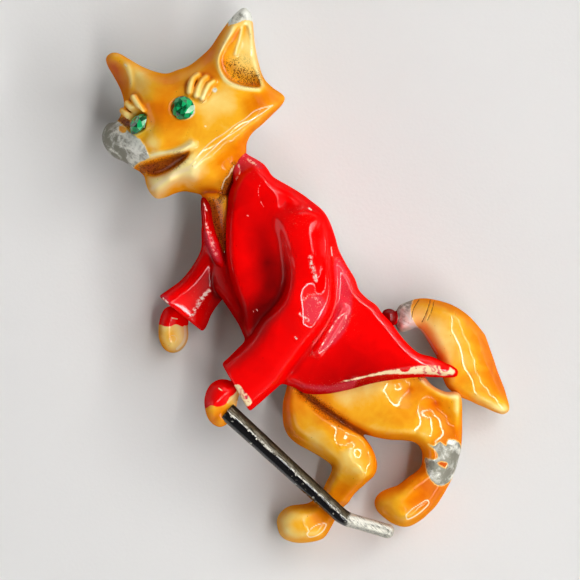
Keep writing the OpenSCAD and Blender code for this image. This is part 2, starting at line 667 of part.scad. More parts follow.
head();
coat();
legs();
tail();
near_paw();
far_paw();
stick();
eye_stone_near();
eye_stone_far();
pin_back();
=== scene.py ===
import math
import bmesh
import bpy
import numpy as np
import openvdb
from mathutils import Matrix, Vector


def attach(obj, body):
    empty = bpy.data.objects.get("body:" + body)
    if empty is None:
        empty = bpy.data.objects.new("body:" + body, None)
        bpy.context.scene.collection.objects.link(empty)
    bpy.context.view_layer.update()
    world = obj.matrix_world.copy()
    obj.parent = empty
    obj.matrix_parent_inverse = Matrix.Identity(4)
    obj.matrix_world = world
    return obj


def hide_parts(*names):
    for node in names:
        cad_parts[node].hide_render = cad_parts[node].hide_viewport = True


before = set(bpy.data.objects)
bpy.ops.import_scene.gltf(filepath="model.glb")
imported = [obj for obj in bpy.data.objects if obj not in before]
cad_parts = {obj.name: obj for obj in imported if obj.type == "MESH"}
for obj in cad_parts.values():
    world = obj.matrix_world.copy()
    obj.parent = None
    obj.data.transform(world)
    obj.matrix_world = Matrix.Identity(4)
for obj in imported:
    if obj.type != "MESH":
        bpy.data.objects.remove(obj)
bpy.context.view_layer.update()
scene = bpy.context.scene
mm = 0.001

# outlines and heights are laid out on a flat drawing, 8.5 units to the millimetre, y downwards, heights in mm
drawing = {"unitsPerMm": 8.5, "middle": (306.0, 276.5)}
shine = {"right": 0.32, "up": -0.056, "dome": 0.225}  # the slope that mirrors the window, and a dome's bulge
# a bevel beside a line, as millimetres out and down
bevelProfile = ((-1.4, 0.0), (-0.6, 0.01), (0.0, 0.10), (0.5, 0.24), (0.95, 0.42), (1.5, 0.95))


def onPlan(points):
    out = np.array(points, dtype=float)
    out[:, 0] = (out[:, 0] - drawing["middle"][0]) / drawing["unitsPerMm"]
    out[:, 1] = (drawing["middle"][1] - out[:, 1]) / drawing["unitsPerMm"]
    return out


def rounded(points, closed=True, steps=5):  # a smooth line through given points
    p = onPlan(points)[:, :2]
    n = len(p)
    out = []
    for i in range(n if closed else n - 1):
        a, b, c, d = ((p[(i - 1) % n], p[i], p[(i + 1) % n], p[(i + 2) % n]) if closed else
                      (p[max(i - 1, 0)], p[i], p[i + 1], p[min(i + 2, n - 1)]))
        gap = [max(math.dist(u, v), 1e-4) ** 0.5 for u, v in ((a, b), (b, c), (c, d))]
        inSlope = (b - a) / gap[0] - (c - a) / (gap[0] + gap[1]) + (c - b) / gap[1]
        outSlope = (c - b) / gap[1] - (d - b) / (gap[1] + gap[2]) + (d - c) / gap[2]
        for t in np.arange(steps) / steps:
            out.append((2 * t**3 - 3 * t**2 + 1) * b + (t**3 - 2 * t**2 + t) * gap[1] * inSlope
                       + (3 * t**2 - 2 * t**3) * c + (t**3 - t**2) * gap[1] * outSlope)
    if not closed:
        out.append(p[-1])
    return np.array(out)


def nearness(x, y, line, closed):  # distance to a line, and whether each place is inside it
    best = np.full(x.shape, 1e9)
    within = np.zeros(x.shape, dtype=bool)
    ends = zip(line, np.roll(line, -1, 0)) if closed else zip(line[:-1], line[1:])
    for (ax, ay), (bx, by) in ends:
        ex, ey = bx - ax, by - ay
        t = np.clip(((x - ax) * ex + (y - ay) * ey) / (ex * ex + ey * ey + 1e-12), 0, 1)
        best = np.minimum(best, (x - ax - t * ex) ** 2 + (y - ay - t * ey) ** 2)
        if closed and abs(ey) > 1e-9:
            within ^= ((ay > y) != (by > y)) & (x < ax + ex * (y - ay) / ey)
    return np.sqrt(best), within


def inside(x, y, line):  # millimetres in from a closed line, below nothing outside it
    far, within = nearness(x, y, line, True)
    return np.where(within, far, -far)


def along(x, y, line, width):  # 1 on a line and nothing further off than its width
    far, _ = nearness(x, y, rounded(line, False, 4) if len(line) > 2 else onPlan(line)[:, :2], False)
    return np.exp(-(far / width) ** 2)


def spread(x, y, marks):  # a smooth field through marks of (x, y, value)
    if np.isscalar(marks):
        return np.full(x.shape, float(marks))
    m = np.array(marks, dtype=float)
    p = onPlan(m[:, :2])
    n = len(p)

    def bend(far2):
        return far2 * np.log(far2 + 1e-9)

    a = np.zeros((n + 3, n + 3))
    a[:n, :n] = bend(((p[:, None] - p[None]) ** 2).sum(2)) + np.eye(n) * 1e-3
    a[:n, n] = a[n, :n] = 1
    a[:n, n + 1:] = p
    a[n + 1:, :n] = p.T
    w = np.linalg.solve(a, np.append(m[:, 2], [0, 0, 0]))
    out = w[n] + w[n + 1] * x + w[n + 2] * y
    for (mx, my), k in zip(p, w[:n]):
        out = out + k * bend((x - mx) ** 2 + (y - my) ** 2)
    return np.clip(out, m[:, 2].min() - 0.4, m[:, 2].max() + 0.4)


def glint(px, py, z, turn, long, wide):  # height marks of a small dome that mirrors the window
    unit = drawing["unitsPerMm"]
    c, d = math.cos(math.radians(turn)), math.sin(math.radians(turn))
    ends = np.array([-0.5, 0.0, 0.5])
    marks = []
    for p in ends * long / unit:
        for q in ends * wide / unit:
            x, y = p * c - q * d, p * d + q * c
            bulge = p * p * unit / long + q * q * unit / wide
            drop = shine["right"] * x + shine["up"] * y + shine["dome"] * bulge
            marks.append((px + unit * x, py - unit * y, z - drop))
    return marks


def bevel(line, turn, wide=1.0):  # height marks of a bevel beside a line that mirrors the window's end
    unit = drawing["unitsPerMm"]
    c, d = math.cos(math.radians(turn)), math.sin(math.radians(turn))
    return [(x + unit * q * wide * c, y - unit * q * wide * d, z - drop * wide)
            for x, y, z in line for q, drop in bevelProfile]


def softLow(a, b, soft):  # the lower of two, melted together over a width
    if soft <= 0:
        return np.minimum(a, b)
    h = np.clip(0.5 + 0.5 * (b - a) / soft, 0, 1)
    return b + (a - b) * h - soft * h * (1 - h)


def blurred(block, cells):
    reach = max(1, int(math.ceil(cells * 2.5)))
    weights = np.exp(-0.5 * (np.arange(-reach, reach + 1) / cells) ** 2)
    weights = (weights / weights.sum()).astype(np.float32)
    for axis in range(3):
        pad = [(reach, reach) if k == axis else (0, 0) for k in range(3)]
        wide = np.pad(block, pad, mode="edge")
        size = block.shape[axis]
        block = sum(w * wide[tuple(slice(i, i + size) if k == axis else slice(None) for k in range(3))]
                    for i, w in enumerate(weights))
    return block


clayRules = {
    "edge": 1.2, "side": 0.42, "power": 2.2, "back": 1.0, "soft": 0.5, "cutSoft": 0.25, "cupSoft": 0.08,
    "leastEdge": 0.25, "leastDepth": 0.2, "margin": 2.4, "headroom": 1.2, "petalMargin": 1.5,
    "cupSlack": 0.05, "open": 9.0, "cellsKept": 4, "proudReach": 1.2, "proudBlur": 0.5,
}


class Clay:  # a block of small cells that one piece is modelled in, in millimetres
    def __init__(self, low, high, cell):
        self.cell = cell
        self.low = np.array(low, dtype=float)
        self.axes = [np.arange(a, b + cell, cell, dtype=np.float32) for a, b in zip(low, high)]
        self.far = np.full([len(a) for a in self.axes], clayRules["open"], dtype=np.float32)

    def part(self, low, high):  # the cells round a form
        cut = [slice(*np.searchsorted(a, (l, h))) for a, l, h in zip(self.axes, low, high)]
        x, y = np.meshgrid(self.axes[0][cut[0]], self.axes[1][cut[1]], indexing="ij")
        return tuple(cut), x.astype(float), y.astype(float), self.axes[2][cut[2]].astype(float)[None, None, :]

    def form(self, shape):  # a cushion between a top and a back, rounded over its outline
        rules = {**clayRules, **shape}
        margin, power = rules["margin"], rules["power"]
        line = rounded(shape["outline"])
        tops, backs = shape["top"], rules["back"]
        high = tops if np.isscalar(tops) else max(m[2] for m in tops) + rules["headroom"]
        deep = backs if np.isscalar(backs) else min(m[2] for m in backs)
        cut, x, y, z = self.part((*(line.min(0) - margin), deep - margin),
                                 (*(line.max(0) + margin), high + margin))
        top, back = spread(x, y, tops), spread(x, y, backs)
        for path, width, amount in shape.get("strokes", ()):
            top = top + amount * along(x, y, path, width)
        edge = np.maximum(spread(x, y, rules["edge"]), rules["leastEdge"])
        side = back + (top - back) * rules["side"]
        u = np.clip(1 - inside(x, y, line) / edge, 0, None)[:, :, None]
        rise, fall = (np.maximum(tall, rules["leastDepth"])[:, :, None] for tall in (top - side, side - back))
        side = side[:, :, None]
        w = np.where(z > side, (z - side) / rise, (side - z) / fall)
        size = np.where(z > side, rise, fall)
        r = (u ** power + w ** power) ** (1 / power) + 1e-6
        acrossSteep = (u / r) ** (power - 1) / edge[:, :, None]
        upSteep = (w / r) ** (power - 1) / size
        volume = (r - 1) / (np.sqrt(acrossSteep ** 2 + upSteep ** 2) + 1e-6)
        for ends in shape.get("ends", ()):  # cut square across a line, keeping what is on its left
            (px, py), (qx, qy) = onPlan(ends)
            off = ((x - px) * (qy - py) - (y - py) * (qx - px)) / math.hypot(qx - px, qy - py)
            volume = -softLow(-volume, off[:, :, None] + 0 * volume, rules["cutSoft"])
        return cut, volume

    def add(self, shape):
        cut, volume = self.form(shape)
        self.far[cut] = softLow(self.far[cut], volume, shape.get("soft", clayRules["soft"]))

    def carve(self, shape):
        cut, volume = self.form(shape)
        self.far[cut] = -softLow(-self.far[cut], volume, shape["soft"])

    def petal(self, line, wide, thick, soft):  # a rounded bead laid along a line of (x, y, z)
        p = onPlan([q[:2] for q in line])
        z = np.array([q[2] for q in line], dtype=float)
        margin = clayRules["petalMargin"]
        cut, x, y, zz = self.part((*(p.min(0) - wide - margin), z.min() - thick - margin),
                                  (*(p.max(0) + wide + margin), z.max() + thick + margin))
        best = np.full((*x.shape, zz.shape[2]), 1e9)
        for i in range(len(p) - 1):
            ex, ey, ez = p[i + 1][0] - p[i][0], p[i + 1][1] - p[i][1], z[i + 1] - z[i]
            t = np.clip(((x - p[i][0]) * ex + (y - p[i][1]) * ey) / (ex * ex + ey * ey), 0, 1)
            off = np.sqrt((x - p[i][0] - t * ex) ** 2 + (y - p[i][1] - t * ey) ** 2) / wide
            deep = (zz - (z[i] + t * ez)[:, :, None]) / thick
            best = np.minimum(best, np.sqrt(off[:, :, None] ** 2 + deep ** 2))
        self.far[cut] = softLow(self.far[cut], (best - 1) * min(wide, thick), soft)

    def cup(self, seat, axis, radius, depth):  # a round pocket with a pointed floor, as the stone is
        x, y = np.meshgrid(self.axes[0], self.axes[1], indexing="ij")
        rel = [x[:, :, None] - seat[0], y[:, :, None] - seat[1], self.axes[2][None, None, :] - seat[2]]
        rise = sum(r * a for r, a in zip(rel, axis))
        off = np.sqrt(np.maximum(sum(r * r for r in rel) - rise ** 2, 0))
        volume = np.maximum(off - radius, off * depth / (radius + clayRules["cupSlack"]) - depth - rise)
        self.far = -softLow(-self.far, volume.astype(np.float32), clayRules["cupSoft"])

    def cast(self, smooth):  # the surface as points and four-sided faces, and how proud each point stands
        cell, kept, reach = self.cell, clayRules["cellsKept"] * self.cell, clayRules["proudReach"]
        block = blurred(np.clip(self.far, -kept, kept).astype(np.float32), smooth)
        grid = openvdb.FloatGrid(kept)
        grid.copyFromArray(block)
        points, quads = grid.convertToQuads(0.0)[:2]
        wide = blurred(np.clip(self.far, -reach, reach).astype(np.float32), clayRules["proudBlur"] / cell)
        place = np.clip(points, 0, np.array(block.shape) - 1.001)
        base = place.astype(int)
        part = place - base
        proud = 0
        for corner in range(8):
            step = np.array([(corner >> k) & 1 for k in range(3)])
            share = np.prod(np.where(step, part, 1 - part), axis=1)
            proud = proud + share * wide[tuple((base + step).T)]
        return points * cell + self.low, quads, proud


def placed(name, data):
    thing = bpy.data.objects.new(name, data)
    scene.collection.objects.link(thing)
    return thing


def handOver(piece, node):
    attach(piece, "root")
    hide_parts(node)


def makeMesh(name, points, quads, marks):
    mesh = bpy.data.meshes.new(name)
    mesh.vertices.add(len(points))
    mesh.vertices.foreach_set("co", (points * mm).astype(np.float32).ravel())
    mesh.loops.add(quads.size)
    mesh.loops.foreach_set("vertex_index", quads.astype(np.int32).ravel())
    mesh.polygons.add(len(quads))
    mesh.polygons.foreach_set("loop_start", np.arange(0, quads.size, quads.shape[1], dtype=np.int32))
    mesh.update(calc_edges=True)
    mesh.validate()
    mesh.shade_smooth()
    for key, values in marks.items():
        mesh.attributes.new(key, "FLOAT", "POINT").data.foreach_set("value", values.astype(np.float32))
    return mesh


def facing(points, quads):  # how far each point's surface looks up
    a, b, c, d = (points[quads[:, k]] for k in range(4))
    normal = np.cross(c - a, d - b)
    out = np.zeros_like(points)
    for k in range(4):
        np.add.at(out, quads[:, k], normal)
    return out[:, 2] / (np.linalg.norm(out, axis=1) + 1e-12)


paintRules = {
    "smooth": 0.9, "topPercent": 80, "patchReach": 1.5, "patchSteps": 3,
    # how far down, off level or up a surface looks where each begins, and over how much it grows
    "under": (0.1, 0.8), "steep": (-0.80, 0.45), "front": (-0.35, 0.3),
}


def dress(name, clay, paint, node, finish):  # casts a piece, paints its fields and hands it over
    rules = {**paintRules, **paint}
    points, quads, proud = clay.cast(rules["smooth"])
    up = facing(points, quads)
    if up[points[:, 2] > np.percentile(points[:, 2], rules["topPercent"])].mean() < 0:
        quads, up = quads[:, ::-1], -up
    x, y = points[:, 0], points[:, 1]
    none, reach = proud * 0, rules["patchReach"]

    def begun(value, key):
        start, span = rules[key]
        return np.clip((value - start) / span, 0, 1)

    def strokes(key, base, share):  # the most of a field and of soft strokes of (line, width, amount)
        for line, width, amount in paint.get(key, ()):
            base = np.maximum(base, amount * along(x, y, line, width) * share)
        return base

    def patches(key):  # how far each point is inside the patches, in millimetres
        best = none - reach
        for line in paint.get(key, ()):
            deep = inside(x, y, rounded(line, True, rules["patchSteps"]))
            best = np.maximum(best, np.clip(deep, -reach, reach))
        return best

    front = begun(up, "front")
    marks = {"proud": proud, "tone": spread(x, y, paint["tone"]), "under": begun(-up, "under")}
    for line, width, amount in paint.get("streaks", ()):
        marks["tone"] = marks["tone"] + amount * along(x, y, line, width)
    marks["steep"] = begun(-up, "steep")
    marks["dull"] = strokes("dull", marks["steep"], 1)  # places whose glaze shines less
    marks["bare"] = np.minimum(patches("bare"), -patches("islets"))
    marks["worn"] = np.where(front > 0.5, patches("worn"), -reach)
    marks["spill"] = patches("spill")
    for key in ("speck", "crack", "fleck"):
        marks[key] = strokes(key, none, front)
    piece = placed(name, makeMesh(name, points, quads, marks))
    piece.data.materials.append(finish)
    handOver(piece, node)
    print("cast", name, len(points), "points,", len(quads), "faces")


def enamelPiece(name, plan, forms, node, finish):  # forms melted together in one block of cells
    clay = Clay(*plan["block"], plan["cell"])
    for key in forms:
        clay.add(plan[key])
    dress(name, clay, plan["paint"], node, finish)


class Wire:  # the output of a node, used in sums
    def __init__(self, bench, socket):
        self.bench, self.socket = bench, socket

    def math(self, operation, *others):
        return self.bench.node("ShaderNodeMath", {"operation": operation}, [self, *others])

    def __add__(self, other):
        return self.math("ADD", other)

    def __sub__(self, other):
        return self.math("SUBTRACT", other)

    def __mul__(self, other):
        return self.math("MULTIPLY", other)

    def __truediv__(self, other):
        return self.math("DIVIDE", other)

    def __pow__(self, other):
        return self.math("POWER", other)

    def __rsub__(self, other):
        return self.bench.node("ShaderNodeMath", {"operation": "SUBTRACT"}, [other, self])

    __radd__, __rmul__ = __add__, __mul__

    def ramp(self, low, high, start=0.0, end=1.0):  # eased from start to end as the value goes low to high
        return self.bench.node("ShaderNodeMapRange", {"interpolation_type": "SMOOTHSTEP"}, {
            "Value": self, "From Min": low, "From Max": high, "To Min": start, "To Max": end})


class Bench:  # a node tree that is written as sums
    def __init__(self, tree):
        self.tree = tree
        tree.nodes.clear()

    def node(self, kind, settings=None, sockets=None, out=0):
        made = self.tree.nodes.new(kind)
        for key, value in (settings or {}).items():
            if key == "stops":
                while len(made.color_ramp.elements) < len(value):
                    made.color_ramp.elements.new(0.5)
                for element, (position, colour) in zip(made.color_ramp.elements, value):
                    element.position, element.color = position, (*colour, 1)
            else:
                setattr(made, key, value)
        pairs = sockets.items() if isinstance(sockets, dict) else enumerate(sockets or ())
        for key, value in pairs:
            if isinstance(value, Wire):
                self.tree.links.new(value.socket, made.inputs[key])
            else:
                made.inputs[key].default_value = value
        return Wire(self, made.outputs[out]) if made.outputs else None


class Finish(Bench):  # a material
    def __init__(self, name):
        self.material = bpy.data.materials.new(name)
        self.material.use_nodes = True
        super().__init__(self.material.node_tree)
        self.place = self.node("ShaderNodeTexCoord", {}, {}, "Object")

    def noise(self, scale, detail=2.0, rough=0.5, twist=0.0, place=None):
        return self.node("ShaderNodeTexNoise", {}, {
            "Vector": place or self.place, "Scale": scale, "Detail": detail, "Roughness": rough,
            "Distortion": twist})

    def ragged(self, coarse, fine):  # uneven edges, from two noises of (scale, amount)
        wide, small = self.noise(coarse[0], 4.0, 0.65), self.noise(fine[0], 2.0)
        return (wide - 0.5) * coarse[1] + (small - 0.5) * fine[1]

    def cells(self, scale):
        return self.node("ShaderNodeTexVoronoi", {}, {"Vector": self.place, "Scale": scale}, "Distance")

    def field(self, name):
        return self.node("ShaderNodeAttribute", {"attribute_name": name}, {}, "Fac")

    def fields(self, *names):
        return [self.field(name) for name in names]

    def graded(self, value, *stops):
        return self.node("ShaderNodeValToRGB", {"stops": stops}, [value])

    def mixed(self, share, a, b):
        colours = [c if isinstance(c, Wire) else (*c, 1) for c in (a, b)]
        return self.node("ShaderNodeMix", {"data_type": "RGBA"}, {0: share, 6: colours[0], 7: colours[1]}, 2)

    def bump(self, height, strength, distance):
        return self.node("ShaderNodeBump", {}, {"Height": height, "Strength": strength, "Distance": distance})

    def surface(self, sockets, fixed):
        body = self.node("ShaderNodeBsdfPrincipled", {}, {**sockets, **fixed})
        self.node("ShaderNodeOutputMaterial", {}, {"Surface": body})
        return self.material


enamelLook = {
    "deep": (0.66, 0.080, 0.0006), "amber": (0.84, 0.24, 0.002), "butter": (0.95, 0.44, 0.018),
    "cream": (0.97, 0.66, 0.17), "pale": (0.98, 0.80, 0.33), "stainAndShade": (0.33, 0.075, 0.010),
    "brown": (0.12, 0.028, 0.005), "bone": (0.93, 0.72, 0.42), "red": (0.93, 0.0004, 0.0006),
    "deepRed": (0.20, 0.0003, 0.0008), "wornAndSheenRed": (0.66, 0.040, 0.075), "pink": (0.94, 0.32, 0.30),
    "chalk": (0.95, 0.78, 0.66), "pewter": (0.82, 0.81, 0.73), "darkPewter": (0.27, 0.26, 0.21),
    "bright": (0.76, 0.84, 0.80), "roughness": 0.10,
    # noises, as scale, detail, roughness and twist
    "swirl": (260.0, 3.0, 0.5, 1.4), "cloud": (620.0, 3.0, 0.6, 0.6), "redCloud": (420.0, 3.0, 0.55, 0.8),
    "casting": (1300.0, 5.0, 0.72, 0.6), "planes": (420.0, 2.0, 0.5, 0.8), "dust": (2600.0, 2.0, 0.7),
    "chips": (2600.0, 4.0, 0.7), "rolls": (420.0, 1.0), "redRolls": (300.0, 1.0), "fine": (9000.0, 2.0),
}
glaze = {"IOR": 1.5, "Coat Roughness": 0.035, "Coat IOR": 1.5, "Specular IOR Level": 0.0}


def orangeEnamel(name, look=enamelLook):
    f = Finish(name)
    proud, tone, bare, speck, spill, crack = f.fields("proud", "tone", "bare", "speck", "spill", "crack")
    swirl, cloud, dust, casting, planes, rolls, fine = (
        f.noise(*look[key]) for key in ("swirl", "cloud", "dust", "casting", "planes", "rolls", "fine"))
    level = tone * 0.30 + 0.47 + (swirl - 0.5) * 0.42 + (cloud - 0.5) * 0.18
    level = level + proud.ramp(0.02, 0.20, 0.0, 0.30) - proud.ramp(-0.02, -0.16, 0.0, 0.34)
    colour = f.graded(level, (0.0, look["deep"]), (0.30, look["amber"]), (0.56, look["butter"]),
                      (0.80, look["cream"]), (1.0, look["pale"]))
    # painted shade: steep sides mixed half toward amber, a warm shadow painted on the flanks
    colour = f.mixed(f.field("steep") * 0.5, colour, look["amber"])
    # painted shade: creases and hollows darkened toward a brown
    colour = f.mixed(proud.ramp(-0.07, -0.24) * 0.75, colour, look["stainAndShade"])
    # speck strokes darken toward the same brown: stains, and painted shade in the chest hollow, beside the
    # collar and between thigh and rump
    colour = f.mixed(speck.ramp(0.45, 1.1) * 0.75, colour, look["stainAndShade"])
    speckled = speck.ramp(0.12, 0.75) * (f.cells(6200.0) * 0.9 + dust).ramp(0.98, 0.70)
    colour = f.mixed(speckled, colour, look["brown"])
    pits = f.cells(1500.0).ramp(0.085, 0.06) * f.noise(900.0, 1.0).ramp(0.52, 0.60)
    colour = f.mixed(pits * 0.75, colour, look["brown"])
    ragged = f.ragged((1500.0, 0.34), (5200.0, 0.12))
    redEdge = (spill + ragged * 0.5).ramp(-0.04, 0.05)  # red that has run over from the coat
    colour = f.mixed(redEdge, colour, f.mixed(tone.ramp(-0.9, -1.5), look["red"], look["deepRed"]))
    chipped = bare + ragged
    frontMetal = chipped.ramp(-0.015, 0.02)
    rim = chipped.ramp(-0.16, -0.05) * (1 - frontMetal) * (1 - redEdge)
    colour = f.mixed(rim * 0.8, colour, look["cream"])
    metal = frontMetal.math("MAXIMUM", (f.field("under") + ragged * 0.6).ramp(0.45, 0.55))
    shade = (casting * 0.6 + planes * 0.55 + tone * 0.09).ramp(0.42, 0.64)
    colour = f.mixed(metal, colour, f.mixed(shade, look["darkPewter"], look["pewter"]))
    colour = f.mixed(crack.ramp(0.5, 0.95), colour, look["brown"])
    # pale lines and dots along the fleck strokes: painted highlights and glints, and some pale wear marks
    colour = f.mixed(f.field("fleck").ramp(0.45, 0.8), colour, f.mixed(metal, look["bone"], look["bright"]))
    height = rolls * 0.16 + fine * 0.012 + metal * casting * 1.1 - metal * 0.55 - crack * 0.5
    height = height - speckled * 0.25 + metal * planes * 2.2
    return f.surface({
        "Base Color": colour, "Metallic": metal * 0.35, "Normal": f.bump(height, 0.55, 0.00016),
        "Roughness": metal * 0.30 + speckled * 0.25 + (dust - 0.5) * 0.05 + look["roughness"],
        "Coat Weight": (0.85 - metal * 0.85) * (1 - f.field("dull") * 0.95)}, glaze)


def redEnamel(name, look=enamelLook):
    f = Finish(name)
    proud, tone, bare, worn, speck = f.fields("proud", "tone", "bare", "worn", "speck")
    cloud, casting, chips, rolls, fine = (
        f.noise(*look[key]) for key in ("redCloud", "casting", "chips", "redRolls", "fine"))
    level = tone * 0.5 + 0.62 + (cloud - 0.5) * 0.25 - proud.ramp(-0.02, -0.18, 0.0, 0.4)
    colour = f.graded(level, (0.0, look["deepRed"]), (0.75, look["red"]))
    ragged = f.ragged((1700.0, 0.42), (6000.0, 0.16))
    # the worn patches: wear on the collar, cuffs and hem, and a painted sheen on the elbow, the far lapel and
    # beside the sleeve
    rubAndSheen = (worn + ragged * 1.3).ramp(-0.25, 0.30)
    colour = f.mixed(rubAndSheen * 0.6, colour, look["wornAndSheenRed"])
    # bone dots along the speck strokes: dust, and a painted sparkle in the coat's sheen and highlight zones
    dust = f.cells(5600.0).ramp(0.16, 0.08) * speck
    colour = f.mixed(dust, colour, look["bone"])
    chipped = (bare + ragged * 0.7).ramp(-0.05, 0.08)
    bone = f.mixed(f.noise(900.0, 3.0, 0.6, 1.0).ramp(0.52, 0.66), look["bone"], look["wornAndSheenRed"])
    colour = f.mixed(chipped, colour, bone)
    pits = f.cells(1300.0).ramp(0.07, 0.045) * f.noise(800.0, 1.0).ramp(0.54, 0.62)
    colour = f.mixed(pits * 0.8, colour, look["deepRed"])
    # pale mottled marks along the fleck strokes: mostly painted highlights and glints, with some pale wear
    fleckAndHighlightMottle = f.field("fleck") * (chips.ramp(0.36, 0.62) * 0.62 + 0.48)
    pale = f.mixed(fleckAndHighlightMottle.ramp(0.50, 0.74), look["pink"], look["chalk"])
    colour = f.mixed(fleckAndHighlightMottle.ramp(0.38, 0.62), colour, pale)
    back = (f.field("under") + ragged * 0.5).ramp(0.45, 0.55)
    colour = f.mixed(back, colour, f.mixed(casting.ramp(0.35, 0.65), look["darkPewter"], look["pewter"]))
    height = rolls * 0.4 + fine * 0.014 + dust * 0.2 - chipped * 0.3
    height = height + rubAndSheen * ragged * 0.4 + back * casting * 0.5
    rough = (chipped * 0.14 + rubAndSheen * 0.06 + speck * 0.06).math("MAXIMUM", back * 0.32)
    return f.surface({
        "Base Color": colour, "Metallic": back * 0.55, "Roughness": rough + look["roughness"],
        "Coat Weight": (0.75 - chipped * 0.2) * (1 - back) * (1 - f.field("dull") * 0.96),
        "Normal": f.bump(height, 0.5, 0.00016)}, glaze)


butter = orangeEnamel("butterEnamel")
scarlet = redEnamel("scarletEnamel")

